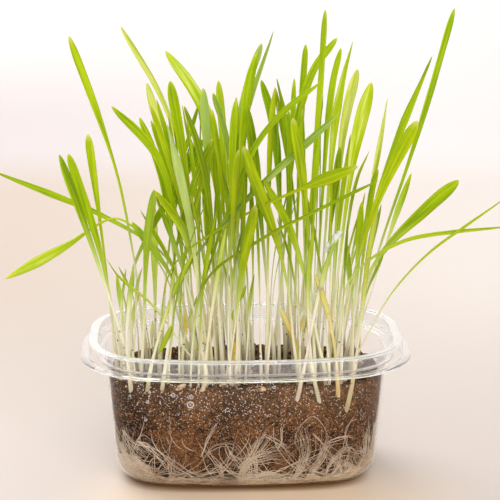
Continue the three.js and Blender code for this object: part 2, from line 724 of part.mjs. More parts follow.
// One root that climbs the wall from the felt, wandering from side to side. Its section is a
// triangle, drawn to a point at the top.
function rootStrand(start, top) {
  const steps = 5;
  const phase = between(0, 2 * Math.PI);
  const wander = between(1.2, 3);
  const foot = ROOT_FELT_TOP - 2;
  const centres = [];
  for (let i = 0; i <= steps; i++) {
    const height = THREE.MathUtils.lerp(foot, top, i / steps);
    const shift = wander * Math.sin(phase + (2.4 * Math.PI * i) / steps);
    const inset = innerInset(height) + 0.55 * ROOT_ZONE_DEPTH;
    centres.push({ distance: start + shift, inset, height });
  }
  const rings = centres.slice(0, -1).map(({ distance, inset, height }) => {
    const half = ROOT_THICKNESS / 2;
    const corner = (sideways, inwards) => roundOutline(distance + sideways, inset + inwards, height);
    return [corner(half, 0.6 * half), corner(-half, 0.6 * half), corner(0, -half)];
  });
  const end = (c) => roundOutline(c.distance, c.inset, c.height);
  return loft(rings, end(centres[0]), end(centres.at(-1)));
}

// A felt of roots in the foot of the tub, with strands that climb the wall.
function makeRoots() {
  const felt = loft(
    footRings(FOOT_RADIUS - WALL - FIT_GAP, 3),
    new THREE.Vector3(0, 0, WALL + FIT_GAP),
    new THREE.Vector3(0, 0, ROOT_FELT_TOP),
  );
  let roots = solidOf(felt);
  for (let i = 0; i < ROOT_STRANDS; i++) {
    const strand = rootStrand((outlineLength * i) / ROOT_STRANDS, between(20, ROOT_ZONE_TOP - 1));
    roots = roots.add(solidOf(strand));
  }
  return roots;
}

addPart("root_mat", geometryOf(makeRoots()), COLOURS.roots);

export default part;
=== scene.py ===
import math
import random

import bmesh
import bpy
import numpy as np
from mathutils import Matrix, Vector, noise


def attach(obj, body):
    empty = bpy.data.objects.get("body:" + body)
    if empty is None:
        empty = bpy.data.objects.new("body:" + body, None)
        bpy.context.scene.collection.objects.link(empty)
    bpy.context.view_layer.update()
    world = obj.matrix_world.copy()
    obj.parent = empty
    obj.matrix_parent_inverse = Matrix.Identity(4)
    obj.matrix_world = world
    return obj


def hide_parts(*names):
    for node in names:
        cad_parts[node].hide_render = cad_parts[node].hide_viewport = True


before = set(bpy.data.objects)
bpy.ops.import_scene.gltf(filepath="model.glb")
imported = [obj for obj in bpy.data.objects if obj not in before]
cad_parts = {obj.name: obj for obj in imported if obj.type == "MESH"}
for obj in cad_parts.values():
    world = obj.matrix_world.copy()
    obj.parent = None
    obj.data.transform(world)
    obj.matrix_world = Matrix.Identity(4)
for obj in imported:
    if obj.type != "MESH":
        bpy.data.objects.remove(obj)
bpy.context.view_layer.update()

# ---------------------------------------------------------------- the view
# A long lens looks down on the tub from its front, from a little to the left of its middle.
# The shift keeps the tub low in the picture, so that the grass has room above it.
MM = 0.001
scene = bpy.context.scene
VIEW_DISTANCE = 900 * MM
VIEW_HEIGHT = 60 * MM
VIEW_DOWN = math.radians(18)
VIEW_ASIDE = 0.038
camera = bpy.data.objects.new("camera", bpy.data.cameras.new("camera"))
camera.data.sensor_width = 36
camera.data.lens = 122.5
camera.data.shift_x = 0.0098
camera.data.shift_y = 0.2166
camera.data.clip_end = 20
camera.rotation_euler = (math.pi / 2 - VIEW_DOWN, 0, -VIEW_ASIDE)
away = VIEW_DISTANCE * math.cos(VIEW_DOWN)
camera.location = (
    -away * math.sin(VIEW_ASIDE),
    -away * math.cos(VIEW_ASIDE),
    VIEW_HEIGHT + VIEW_DISTANCE * math.sin(VIEW_DOWN),
)
scene.collection.objects.link(camera)
scene.camera = camera
scene.view_settings.view_transform = "Standard"

# ---------------------------------------------------------------- the studio
# A pale table top runs back into a white wall in one sweep. Two soft panels light it, one high
# behind the grass, which shines through the blades, and one in front.


def link_mesh(name, mesh_maker, materials, smooth=True):
    """A new piece from a bmesh, with its materials."""
    mesh = bpy.data.meshes.new(name)
    mesh_maker.to_mesh(mesh)
    mesh_maker.free()
    for polygon in mesh.polygons:
        polygon.use_smooth = smooth
    for material in materials:
        mesh.materials.append(material)
    piece = bpy.data.objects.new(name, mesh)
    scene.collection.objects.link(piece)
    return piece


def new_material(name):
    """An empty material: its node tree, and its Principled BSDF joined to the output."""
    material = bpy.data.materials.new(name)
    material.use_nodes = True
    tree = material.node_tree
    tree.nodes.clear()
    output = tree.nodes.new("ShaderNodeOutputMaterial")
    shader = tree.nodes.new("ShaderNodeBsdfPrincipled")
    tree.links.new(shader.outputs["BSDF"], output.inputs["Surface"])
    return material, tree, shader


def add_node(tree, kind, inputs=None, **settings):
    """A node with its settings, and its inputs set to values or joined to outputs."""
    made = tree.nodes.new(kind)
    for key, value in settings.items():
        setattr(made, key, value)
    for key, value in (inputs or {}).items():
        if isinstance(value, bpy.types.NodeSocket):
            tree.links.new(value, made.inputs[key])
        else:
            made.inputs[key].default_value = value
    return made


def calculate(tree, operation, *values):
    """The result of a Math node."""
    return add_node(tree, "ShaderNodeMath", dict(enumerate(values)), operation=operation).outputs[0]


def times(tree, first, second):
    """Two values multiplied."""
    return calculate(tree, "MULTIPLY", first, second)


def ease(tree, value, low, high, to_low=0.0, to_high=1.0):
    """A value eased from one range to another, and held at its ends."""
    inputs = {"Value": value, 1: low, 2: high, 3: to_low, 4: to_high}
    made = add_node(tree, "ShaderNodeMapRange", inputs, interpolation_type="SMOOTHSTEP")
    return made.outputs["Result"]


def blend_colours(tree, share, first, second):
    """Two colours mixed by a share from 0 to 1."""
    made = add_node(tree, "ShaderNodeMix", {"Factor": share}, data_type="RGBA")
    for socket, colour in ((made.inputs[6], first), (made.inputs[7], second)):
        if isinstance(colour, bpy.types.NodeSocket):
            tree.links.new(colour, socket)
        else:
            socket.default_value = (*colour, 1)
    return made.outputs[2]


def join(tree, **links):
    """Joins outputs to the inputs of the Principled BSDF, whose spaces are written as _."""
    shader = next(n for n in tree.nodes if n.type == "BSDF_PRINCIPLED")
    for key, output in links.items():
        tree.links.new(output, shader.inputs[key.replace("_", " ")])


def set_plain(shader, **values):
    """Sets inputs of the Principled BSDF to plain values. Spaces in their names are written as _."""
    for key, value in values.items():
        shader.inputs[key.replace("_", " ")].default_value = value


def object_place(tree):
    """The piece's own coordinates, in metres, and the height among them."""
    place = add_node(tree, "ShaderNodeTexCoord").outputs["Object"]
    height = add_node(tree, "ShaderNodeSeparateXYZ", {"Vector": place}).outputs["Z"]
    return place, height


table = bmesh.new()
bmesh.ops.create_grid(table, x_segments=2, y_segments=40, size=1)
TABLE_HALF_LENGTH = 2
TABLE_HALF_WIDTH = 3
TABLE_IN_FRONT = 1.4
SWEEP_FROM = 0.85
SWEEP_RADIUS = 0.6
for vertex in table.verts:
    along = (vertex.co.y + 1) * TABLE_HALF_LENGTH - TABLE_IN_FRONT
    turned = min(max(along - SWEEP_FROM, 0) / SWEEP_RADIUS, math.pi / 2)
    over = max(along - SWEEP_FROM - SWEEP_RADIUS * math.pi / 2, 0)
    reach = min(along, SWEEP_FROM) + SWEEP_RADIUS * math.sin(turned)
    rise = SWEEP_RADIUS * (1 - math.cos(turned)) + over
    vertex.co = (vertex.co.x * TABLE_HALF_WIDTH, reach, rise)
paint, tree, shader = new_material("pale_table")
place, _ = object_place(tree)
axes = add_node(tree, "ShaderNodeSeparateXYZ", {"Vector": place}).outputs
# Painted light: further back, the table and the wall are painted lighter towards the right.
right = ease(tree, axes["X"], -0.3, 0.35)
# Painted light: a warm pool of light is painted on the table in front of the tub's foot.
from_foot = add_node(
    tree, "ShaderNodeVectorMath", {0: place, 1: (0.01, -0.085, 0)}, operation="DISTANCE"
).outputs["Value"]
painted_glow_near_foot = ease(tree, from_foot, 0.03, 0.13, 0.95, 0)
front = blend_colours(tree, painted_glow_near_foot, (0.64, 0.56, 0.51), (0.97, 0.75, 0.53))
# Painted shadow: a superellipse under the tub's foot, inside which the table is painted dark brown as the
# tub's contact shadow.
sideways = calculate(tree, "POWER", times(tree, axes["X"], 14.4), 4)
lengthways = calculate(tree, "POWER", times(tree, axes["Y"], 23.6), 4)
painted_contact_shadow = ease(tree, calculate(tree, "ADD", sideways, lengthways), 0.35, 0.9, 1, 0)
front = blend_colours(tree, painted_contact_shadow, front, (0.36, 0.185, 0.07))
middle = blend_colours(tree, right, (0.56, 0.46, 0.385), (0.78, 0.715, 0.67))
wall = blend_colours(tree, right, (0.62, 0.56, 0.555), (0.80, 0.78, 0.775))
behind = blend_colours(tree, ease(tree, axes["Y"], 0.0, 0.4), front, middle)
behind = blend_colours(tree, ease(tree, axes["Y"], 0.66, 0.9), behind, wall)
join(tree, Base_Color=blend_colours(tree, ease(tree, axes["Y"], 0.95, 1.4), behind, (0.95, 0.93, 0.93)))
set_plain(shader, Roughness=0.5)
floor = link_mesh("table", table, [paint])


def soft_panel(name, place, size, power, colour):
    """A square light panel that faces the grass."""
    panel = bpy.data.lights.new(name, "AREA")
    panel.size = size
    panel.energy = power
    panel.color = colour
    lamp = bpy.data.objects.new(name, panel)
    lamp.location = place
    lamp.rotation_euler = (Vector((0, 0, 0.12)) - Vector(place)).to_track_quat("-Z", "Y").to_euler()
    scene.collection.objects.link(lamp)


soft_panel("panel_behind", (-0.7, 0.9, 1.3), 1.2, 17.5, (1, 0.99, 0.97))
soft_panel("panel_in_front", (0.35, -1.5, 0.9), 1.4, 18, (1, 0.98, 0.96))
sky = bpy.data.worlds.new("studio")
sky.use_nodes = True
background = sky.node_tree.nodes["Background"]
background.inputs["Strength"].default_value = 0.68
# Past the table's edge, the room is about as dark as the table is.
seen = add_node(sky.node_tree, "ShaderNodeLightPath").outputs["Is Camera Ray"]
room = blend_colours(sky.node_tree, seen, (1, 0.99, 0.98), (0.86, 0.79, 0.745))
sky.node_tree.links.new(room, background.inputs["Color"])
scene.world = sky

# ---------------------------------------------------------------- the tub
# A food tub of clear plastic, drawn thin in one piece from a sheet. Its flange and the hollow lip
# above it, where the plastic is folded, are milkier than the walls. The flange's edge and the lip's
# top are milkier still, partly the plastic's own milkiness and partly painted highlights: the
# bright lines along them.
HALF_LENGTH = 86
HALF_WIDTH = 59
LONG_SIDE_RADIUS = 300
SHORT_SIDE_RADIUS = 1000
CORNER_RADIUS = 44
RIM_HEIGHT = 75.3
LEDGE_HEIGHT = 66.9
WALL = 0.8
FOOT_RADIUS = 13
WALL_TAPER = 0.078
SKIRT_INSET = 4.2
LIP_INSET = 9.5
BODY_INSET = 12.5


def outline_arcs():
    """The eight arcs of the flange's edge, anticlockwise: centre, radius and the angles between."""
    long_centre = HALF_WIDTH - LONG_SIDE_RADIUS
    short_centre = HALF_LENGTH - SHORT_SIDE_RADIUS
    long_reach = LONG_SIDE_RADIUS - CORNER_RADIUS
    short_reach = SHORT_SIDE_RADIUS - CORNER_RADIUS
    apart = math.hypot(long_centre, short_centre)
    along = (long_reach**2 - short_reach**2 + apart**2) / (2 * apart)
    across = math.sqrt(long_reach**2 - along**2)
    way_x, way_y = short_centre / apart, -long_centre / apart
    corner_x = way_x * along + way_y * across
    corner_y = long_centre + way_y * along - way_x * across
    start = math.atan2(corner_y, corner_x - short_centre)
    end = math.atan2(corner_y - long_centre, corner_x)
    arcs = []
    for sign, turn in ((1, 0), (-1, math.pi)):
        arcs.append((sign * short_centre, 0, SHORT_SIDE_RADIUS, turn - start, turn + start))
        arcs.append((sign * corner_x, sign * corner_y, CORNER_RADIUS, turn + start, turn + end))
        arcs.append((0, sign * long_centre, LONG_SIDE_RADIUS, turn + end, turn + math.pi - end))
        far_end = turn + math.pi - start
        arcs.append((-sign * corner_x, sign * corner_y, CORNER_RADIUS, turn + math.pi - end, far_end))
    return arcs


ARCS = outline_arcs()
ARC_ENDS = np.cumsum([radius * (last - first) for _, _, radius, first, last in ARCS])
OUTLINE_LENGTH = ARC_ENDS[-1]


def round_the_tub(distance):
    """The place on the flange's edge at a distance round it, and the way outwards there."""
    distance = distance % OUTLINE_LENGTH
    which = int(np.searchsorted(ARC_ENDS, distance, side="right"))
    x, y, radius, first, _ = ARCS[which]
    begun = ARC_ENDS[which - 1] if which else 0
    angle = first + (distance - begun) / radius
    out = Vector((math.cos(angle), math.sin(angle), 0))
    return Vector((x, y, 0)) + radius * out, out


def outer_inset(height):
    """How far in from the flange's edge the wall's outer face lies. The foot is a quarter round."""
    if height > FOOT_RADIUS:
        return BODY_INSET + WALL_TAPER * (LEDGE_HEIGHT - height)
    at_foot = BODY_INSET + WALL_TAPER * (LEDGE_HEIGHT - FOOT_RADIUS) + FOOT_RADIUS
    return at_foot - math.sqrt(FOOT_RADIUS**2 - (FOOT_RADIUS - height) ** 2)


def inner_inset(height):
    """How far in the wall's inner face lies."""
    if height > FOOT_RADIUS:
        return outer_inset(height) + WALL
    at_foot = outer_inset(0)
    return at_foot - math.sqrt(max((FOOT_RADIUS - WALL) ** 2 - (FOOT_RADIUS - height) ** 2, 0))


class RoundWall:
    """A wall that goes up round the tub, made ring by ring by extruding the last ring's edges."""

    def __init__(self, segments):
        self.shape = bmesh.new()
        self.around = self.shape.verts.layers.int.new("around")
        self.stations = [round_the_tub(OUTLINE_LENGTH * (i + 0.5) / segments) for i in range(segments)]
        made = bmesh.ops.create_circle(self.shape, segments=segments, radius=1)
        for index, vertex in enumerate(made["verts"]):
            vertex[self.around] = index
        self.ring = made["verts"]

    def place(self, inset, height):
        """Moves the last ring. Either number may be a function of the vertex's index."""
        for vertex in self.ring:
            index = vertex[self.around]
            at, out = self.stations[index]
            inwards = inset(index) if callable(inset) else inset
            up = height(index) if callable(height) else height
            vertex.co = (at - inwards * out + Vector((0, 0, up))) * MM

    def grow(self, inset, height):
        """Extrudes the last ring into a new one."""
        ring = set(self.ring)
        edges = {e for v in self.ring for e in v.link_edges if e.other_vert(v) in ring}
        made = bmesh.ops.extrude_edge_only(self.shape, edges=list(edges))
        self.ring = [v for v in made["geom"] if isinstance(v, bmesh.types.BMVert)]
        self.place(inset, height)

    def close(self):
        """Closes the hole inside the last ring."""
        ring = set(self.ring)
        edges = {e for v in self.ring for e in v.link_edges if e.other_vert(v) in ring}
        bmesh.ops.edgeloop_fill(self.shape, edges=list(edges))


def foot_profile(radius, steps):
    """Inset and height up a quarter round of the foot."""
    turns = [math.pi / 2 * i / steps for i in range(steps + 1)]
    at_foot = outer_inset(0)
    return [(at_foot - radius * math.sin(t), FOOT_RADIUS - radius * math.cos(t)) for t in turns]


def drawn_corners(corners):
    """Insets and heights along a profile, with each corner that has a radius drawn as an arc."""
    steps = 4
    profile = []
    for i, (inset, height, radius) in enumerate(corners):
        here = Vector((inset, height))
        if not radius:
            profile.append(tuple(here))
            continue
        back = (Vector(corners[i - 1][:2]) - here).normalized()
        ahead = (Vector(corners[i + 1][:2]) - here).normalized()
        half = back.angle(ahead) / 2
        centre = here + (back + ahead).normalized() * radius / math.sin(half)
        first = here + back * radius / math.tan(half) - centre
        last = here + ahead * radius / math.tan(half) - centre
        for k in range(steps + 1):
            around = first.lerp(last, k / steps).normalized() * radius
            profile.append(tuple(centre + around))
    return profile


under_ledge = LEDGE_HEIGHT - WALL
PANEL_STEP = 0.7
DRAWN = 0.5
BENT = DRAWN + WALL
upper_profile = drawn_corners([
    (BODY_INSET + WALL_TAPER * 30, LEDGE_HEIGHT - 30, 0),
    (BODY_INSET, under_ledge, DRAWN),
    (LIP_INSET - WALL, under_ledge, BENT),
    (LIP_INSET - WALL, RIM_HEIGHT - WALL, DRAWN),
    (SKIRT_INSET + WALL, RIM_HEIGHT - WALL, DRAWN),
    (SKIRT_INSET + WALL, under_ledge, DRAWN),
    (0, under_ledge, 0.3),
    (0, LEDGE_HEIGHT, 0.3),
    (SKIRT_INSET, LEDGE_HEIGHT + 0.4, DRAWN),
    (SKIRT_INSET, RIM_HEIGHT, BENT),
    (LIP_INSET, RIM_HEIGHT, BENT),
    (LIP_INSET, LEDGE_HEIGHT, DRAWN),
    (BODY_INSET + WALL, LEDGE_HEIGHT, BENT),
    (BODY_INSET + WALL + WALL_TAPER * 30, LEDGE_HEIGHT - 30, 0),
])
foot_inset = outer_inset(0)
outer_profile = [
    (foot_inset + 7, PANEL_STEP),
    (foot_inset + 6, 0),
    *foot_profile(FOOT_RADIUS, 12),
    *upper_profile,
    *reversed(foot_profile(FOOT_RADIUS - WALL, 12)),
    (foot_inset + 6, WALL),
    (foot_inset + 7, WALL + PANEL_STEP),
]
TUB_SEGMENTS = 160
tub = RoundWall(TUB_SEGMENTS)
tub.place(*outer_profile[0])
tub.close()
for step in outer_profile[1:]:
    tub.grow(*step)
tub.close()
bmesh.ops.recalc_face_normals(tub.shape, faces=tub.shape.faces)
for face in tub.shape.faces:
    middle = face.calc_center_median().z / MM
    on_edge = under_ledge - 0.1 < middle < LEDGE_HEIGHT + 0.1 and abs(face.normal.z) < 0.9
    face.material_index = 2 if on_edge or middle > RIM_HEIGHT - BENT else int(middle > under_ledge - 1)


def lit_through(tree, shader):
    """Lets lamps shine through a clear shader, as thin clear plastic does."""
    output = next(n for n in tree.nodes if n.type == "OUTPUT_MATERIAL")
    path = add_node(tree, "ShaderNodeLightPath").outputs["Is Shadow Ray"]
    open_air = add_node(tree, "ShaderNodeBsdfTransparent").outputs["BSDF"]
    mix = add_node(tree, "ShaderNodeMixShader", {0: path, 1: shader.outputs["BSDF"], 2: open_air})
    tree.links.new(mix.outputs["Shader"], output.inputs["Surface"])


def new_group(name, inputs, outputs):
    """A node group with number inputs at their usual values, and outputs of the kinds given. It
    comes with what its inputs put out inside it."""
    group = bpy.data.node_groups.new(name, "ShaderNodeTree")
    for key, usual in inputs.items():
        socket = group.interface.new_socket(key, in_out="INPUT", socket_type="NodeSocketFloat")
        socket.default_value = usual
    for key, kind in outputs.items():
        group.interface.new_socket(key, in_out="OUTPUT", socket_type="NodeSocket" + kind)
    return group, group.nodes.new("NodeGroupInput").outputs


def put_out(group, **results):
    """Joins results to a group's outputs."""
    leave = group.nodes.new("NodeGroupOutput")
    for key, result in results.items():
        group.links.new(result, leave.inputs[key])


def cloudy(tree, place, scale, detail, **others):
    """Cloudy noise, mostly between 0.3 and 0.7. The higher its scale, the finer it is."""
    inputs = {"Vector": place, "Scale": scale, "Detail": detail, **others}
    return add_node(tree, "ShaderNodeTexNoise", inputs).outputs["Fac"]


def bumped(tree, height, strength, depth, **settings):
    """The way a surface faces that stands out by a depth where a height is 1."""
    inputs = {"Height": height, "Strength": strength, "Distance": depth}
    return add_node(tree, "ShaderNodeBump", inputs, **settings).outputs["Normal"]


def worn_plastic():
    """A group for drawn plastic: a faint haze of scuffs, and the waviness of the sheet."""
    outputs = {"Roughness": "Float", "Normal": "Vector"}
    group, given = new_group("drawn_plastic", {"Haze": 0.05, "Waviness": 0.1}, outputs)
    place, _ = object_place(group)
    hazy = times(group, cloudy(group, place, 420, 3), given["Haze"])
    waves = bumped(group, cloudy(group, place, 55, 2), given["Waviness"], MM)
    put_out(group, Roughness=calculate(group, "ADD", hazy, 0.005), Normal=waves)
    return group


drawn_plastic = worn_plastic()


def clear_plastic(name, tint, bending, milk, haze, waviness):
    """A clear plastic with a share of milk in it, glossier where its surface turns away."""
    material, tree, shader = new_material(name)
    set_plain(shader, Base_Color=(*tint, 1), Transmission_Weight=1 - milk, IOR=bending, Coat_IOR=1.5)
    edge_on = add_node(tree, "ShaderNodeLayerWeight", {"Blend": 0.5}).outputs["Facing"]
    worn = add_node(
        tree, "ShaderNodeGroup", {"Haze": haze, "Waviness": waviness}, node_tree=drawn_plastic
    ).outputs
    join(tree, Coat_Weight=ease(tree, edge_on, 0.6, 1))
    join(tree, Roughness=worn["Roughness"], Normal=worn["Normal"])
    lit_through(tree, shader)
    return material


clear_wall = clear_plastic("clear_wall", (0.99, 0.99, 0.99), 1.1, 0.003, 0.01, 0.06)
milky_rim = clear_plastic("milky_rim", (0.99, 0.99, 0.99), 1.25, 0.035, 0.08, 0.2)
# The third, on the flange's edge and the lip's top, is partly milkier plastic and partly a painted
# highlight: the bright lines along those edges.
milky_highlight_edge = clear_plastic("milky_highlight_edge", (0.99, 0.99, 0.99), 1.35, 0.2, 0.1, 0.25)
tub_piece = link_mesh("tub_shell", tub.shape, [clear_wall, milky_rim, milky_highlight_edge])
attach(tub_piece, "root")
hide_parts("tub")

# ---------------------------------------------------------------- the soil
# Moist potting soil, crumbly, filled to a little below the ledge at the front and lower at the
# back. Its crumbs press against the wall, and lower down it stands further in, behind the roots.
SOIL_HEIGHT = 57
SOIL_WAVE = 0.9
SOIL_BOTTOM = 9.6
ROOT_ZONE_TOP = 38
ROOT_ZONE_DEPTH = 1.4
BANK_RISE = 2.6
BACK_FALL = 3.6
SOIL_CLEARANCE = 0.3
CRUMB_HEIGHT = 1.1
CRUMB_DEPTH = 0.32
SOIL_SEGMENTS = 560
SOIL_RINGS = 56
TOP_RINGS = 44


def backwards(y):
    """From 0 near the front wall to 1 behind the middle."""
    share = min(max((y + 32) / 34, 0), 1)
    return share * share * (3 - 2 * share)


def soil_top(x, y):
    """The soil's height at a place, in low waves that fall away to the back, before its crumbs."""
    long_wave = math.sin(x / 9 + 0.7) * math.cos(y / 7)
    waves = SOIL_WAVE * (long_wave + 0.6 * math.sin(x / 4.3 + y / 5.1))
    return SOIL_HEIGHT + waves - BACK_FALL * backwards(y)


def rise_at_wall(y):
    """How far the soil is banked up against the front wall, or lies lower at the back one."""
    return BANK_RISE - (BANK_RISE + BACK_FALL) * backwards(y)


def crumbs(place):
    """How far the crumbs stand out at a place, from -1 to 1."""
    coarse = noise.voronoi(place / 2.6)[0][0]
    fine = noise.voronoi(place / 1.2 + Vector((7, 3, 5)))[0][0]
    return 1.1 - 1.3 * coarse - 1.2 * fine + 0.5 * noise.noise(place / 7)


def soil_inset(height):
    """How far in the soil stands: close to the wall above, and behind the roots below."""
    behind = ROOT_ZONE_DEPTH * min(max((ROOT_ZONE_TOP - height) / 20, 0), 1)
    return inner_inset(height) + SOIL_CLEARANCE + behind


soil = RoundWall(SOIL_SEGMENTS)
soil.place(soil_inset(SOIL_BOTTOM), SOIL_BOTTOM)
soil.close()
for i in range(1, SOIL_RINGS + 1):
    height = SOIL_BOTTOM + (SOIL_HEIGHT - SOIL_BOTTOM) * i / SOIL_RINGS
    soil.grow(soil_inset(height), height)
edge_ring = {vertex[soil.around]: vertex.co.copy() for vertex in soil.ring}
SPINE_HALF = 26 * MM
for i in range(1, TOP_RINGS + 1):
    share = i / TOP_RINGS
    soil.grow(0, 0)
    for vertex in soil.ring:
        edge = edge_ring[vertex[soil.around]]
        spine = Vector((SPINE_HALF * edge.x / (HALF_LENGTH * MM - 14 * MM), 0, edge.z))
        vertex.co = edge.lerp(spine, share)
for vertex in soil.shape.verts:
    place = vertex.co / MM
    level = place.z
    out = soil.stations[vertex[soil.around]][1]
    stand = crumbs(place)
    if place.z > SOIL_HEIGHT - 0.5:
        top = soil_top(place.x, place.y)
        inside = min((edge_ring[vertex[soil.around]] - vertex.co).length / MM / 3, 1)
        place.z = SOIL_HEIGHT + (top - SOIL_HEIGHT) * inside + CRUMB_HEIGHT * stand - 0.5
        place.z += rise_at_wall(place.y) * (1 - inside) ** 2
    else:
        if place.z > SOIL_BOTTOM:
            place -= out * (CRUMB_DEPTH * max(0.8 - stand, 0))
        high = max((place.z - ROOT_ZONE_TOP) / (SOIL_HEIGHT - ROOT_ZONE_TOP), 0)
        place.z += rise_at_wall(place.y) * high
    # The walls taper, so soil that lies lower also stands further in.
    place -= out * max(inner_inset(place.z) - inner_inset(level), 0)
    vertex.co = place * MM
bmesh.ops.remove_doubles(soil.shape, verts=soil.shape.verts, dist=1e-6)
bmesh.ops.recalc_face_normals(soil.shape, faces=soil.shape.faces)


def scaled(tree, value, factor, added):
    """A value multiplied by a factor, with another value added."""
    return calculate(tree, "MULTIPLY_ADD", value, factor, added)


def split_colour(tree, colour):
    """A colour's Red, Green and Blue."""
    return add_node(tree, "ShaderNodeSeparateColor", {"Color": colour}).outputs


def earth_group():
    """A group for moist peat: dark and rust-brown grains, greyer high up, painted shade in the gaps between
    them, and painted wet glints.
    """
    outputs = {"Color": "Color", "Roughness": "Float", "Normal": "Vector"}
    group, given = new_group("moist_peat", {"Glints": 0.9}, outputs)
    place, height = object_place(group)
    grains = add_node(group, "ShaderNodeTexVoronoi", {"Vector": place, "Scale": 820}).outputs
    dust = add_node(group, "ShaderNodeTexVoronoi", {"Vector": place, "Scale": 1750}).outputs
    drift = cloudy(group, place, 48, 3)
    grain = split_colour(group, grains["Color"])
    speck = split_colour(group, dust["Color"])
    band = ease(group, scaled(group, drift, 0.02, height), 0.042, 0.066)
    body = scaled(group, speck["Red"], 0.6, grain["Red"])
    body = scaled(group, cloudy(group, place, 300, 5), 1.2, body)
    body = scaled(group, band, 0.12, body)
    body = scaled(group, drift, 2.2, calculate(group, "ADD", body, -1.1))
    black, brown, tan = (0.011, 0.004, 0.002), (0.059, 0.024, 0.008), (0.165, 0.076, 0.028)
    earth = blend_colours(group, ease(group, body, 0.85, 1.75), black, brown)
    earth = blend_colours(group, ease(group, body, 1.5, 2.1), earth, tan)
    rust_share = scaled(group, drift, 1.1, speck["Green"])
    rust = calculate(group, "GREATER_THAN", rust_share, scaled(group, band, 0.16, 1.25))
    earth = blend_colours(group, rust, earth, (0.20, 0.07, 0.017))
    # Painted shade: the gaps between the grains are painted nearly black.
    gaps = ease(group, grains["Distance"], 0.35, 0.7, 0, 0.6)
    earth = blend_colours(group, gaps, earth, (0.008, 0.003, 0.001))
    earth = blend_colours(group, times(group, band, 0.2), earth, (0.24, 0.135, 0.066))
    pale = times(group, calculate(group, "GREATER_THAN", speck["Red"], 0.955), 0.75)
    earth = blend_colours(group, pale, earth, (0.36, 0.20, 0.095))
    # Painted glints: pale spots are painted into the soil's colour and made glossy, with fewer of them low
    # down.
    drop = calculate(group, "GREATER_THAN", speck["Blue"], given["Glints"])
    glint = times(group, drop, calculate(group, "LESS_THAN", dust["Distance"], 0.40))
    glint = times(group, glint, ease(group, height, 0.02, 0.046, 0.2, 0.9))
    put_out(
        group,
        Color=blend_colours(group, glint, earth, (0.80, 0.74, 0.66)),
        Roughness=ease(group, glint, 0, 1, 0.85, 0.2),
        Normal=bumped(group, grains["Distance"], 0.7, 0.6 * MM, invert=True),
    )
    return group


moist_peat = earth_group()


def soil_material(name, glints):
    """Potting soil, with more or fewer painted wet glints."""
    material, tree, shader = new_material(name)
    peat = add_node(tree, "ShaderNodeGroup", {"Glints": glints}, node_tree=moist_peat).outputs
    join(tree, Base_Color=peat["Color"], Roughness=peat["Roughness"], Normal=peat["Normal"])
    set_plain(shader, Specular_IOR_Level=0.08)
    return material


soil_piece = link_mesh("soil_bed", soil.shape, [soil_material("potting_soil", 0.9)])
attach(soil_piece, "root")
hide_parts("soil")

# Loose crumbs lie on the soil between the stems.
draws = random.Random(11)
CRUMB_COUNT = 1300
loose = bmesh.new()
for _ in range(CRUMB_COUNT):
    at, out = round_the_tub(draws.uniform(0, OUTLINE_LENGTH))
    inward = draws.uniform(inner_inset(SOIL_HEIGHT) + 1.5, 56)
    x, y = (at - inward * out).xy
    size = draws.uniform(0.5, 1.5) if draws.random() < 0.85 else draws.uniform(1.4, 2.3)
    centre = Vector((x, y, soil_top(x, y) + 0.45 * size))
    turn = Matrix.Rotation(draws.uniform(0, math.tau), 4, Vector((draws.random(), draws.random(), 1)))
    stretch = Matrix.Diagonal((draws.uniform(0.7, 1.3), draws.uniform(0.6, 1), draws.uniform(0.5, 0.9), 1))
    matrix = Matrix.Translation(centre * MM) @ turn @ stretch
    bmesh.ops.create_icosphere(loose, subdivisions=1, radius=size * MM, matrix=matrix)
crumb_piece = link_mesh("soil_crumbs", loose, [soil_material("loose_soil", 0.95)], smooth=False)
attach(crumb_piece, "root")

# ---------------------------------------------------------------- the roots
# Wheat roots that met the wall grew down and along it, so they show as pale arcs on the soil. In
# the foot of the tub they lie matted into a felt.
FELT_SEGMENTS = 300
FELT_STEPS = 14
FELT_DEPTH = 2
FELT_FLOOR = WALL + 0.2


def felt_height(index):
    """How high up the wall the felt reaches, highest in the front left and right corners."""
    at, _ = felt.stations[index]
    corner = math.exp(-(((abs(at.x) - 74) / 17) ** 2)) * (11 if at.x < 0 else 6) * (at.y < 20)
    return 6.6 + corner + 2.4 * noise.noise(at / 9) + 1.5 * noise.noise(at / 3.2)


felt = RoundWall(FELT_SEGMENTS)
felt.place(outer_inset(0), FELT_FLOOR)
felt.close()
for i in range(1, FELT_STEPS + 1):
    share = i / FELT_STEPS

    def level(index, share=share):
        return FELT_FLOOR + (felt_height(index) - FELT_FLOOR) * (1 - math.cos(share * math.pi / 2))

    felt.grow(lambda index, level=level: inner_inset(level(index)) + 0.5, level)
felt.grow(
    lambda index: inner_inset(felt_height(index)) + FELT_DEPTH,
    lambda index: felt_height(index) + 0.3,
)
felt.grow(inner_inset(SOIL_BOTTOM) + 2.2, SOIL_BOTTOM - 3)
felt.close()
bmesh.ops.recalc_face_normals(felt.shape, faces=felt.shape.faces)


def let_light_in(shader, weight, radius):
    """Lets a share of the light sink into a surface, as far as a radius for red, green and blue."""
    set_plain(shader, Subsurface_Weight=weight, Subsurface_Radius=radius, Subsurface_Scale=1)


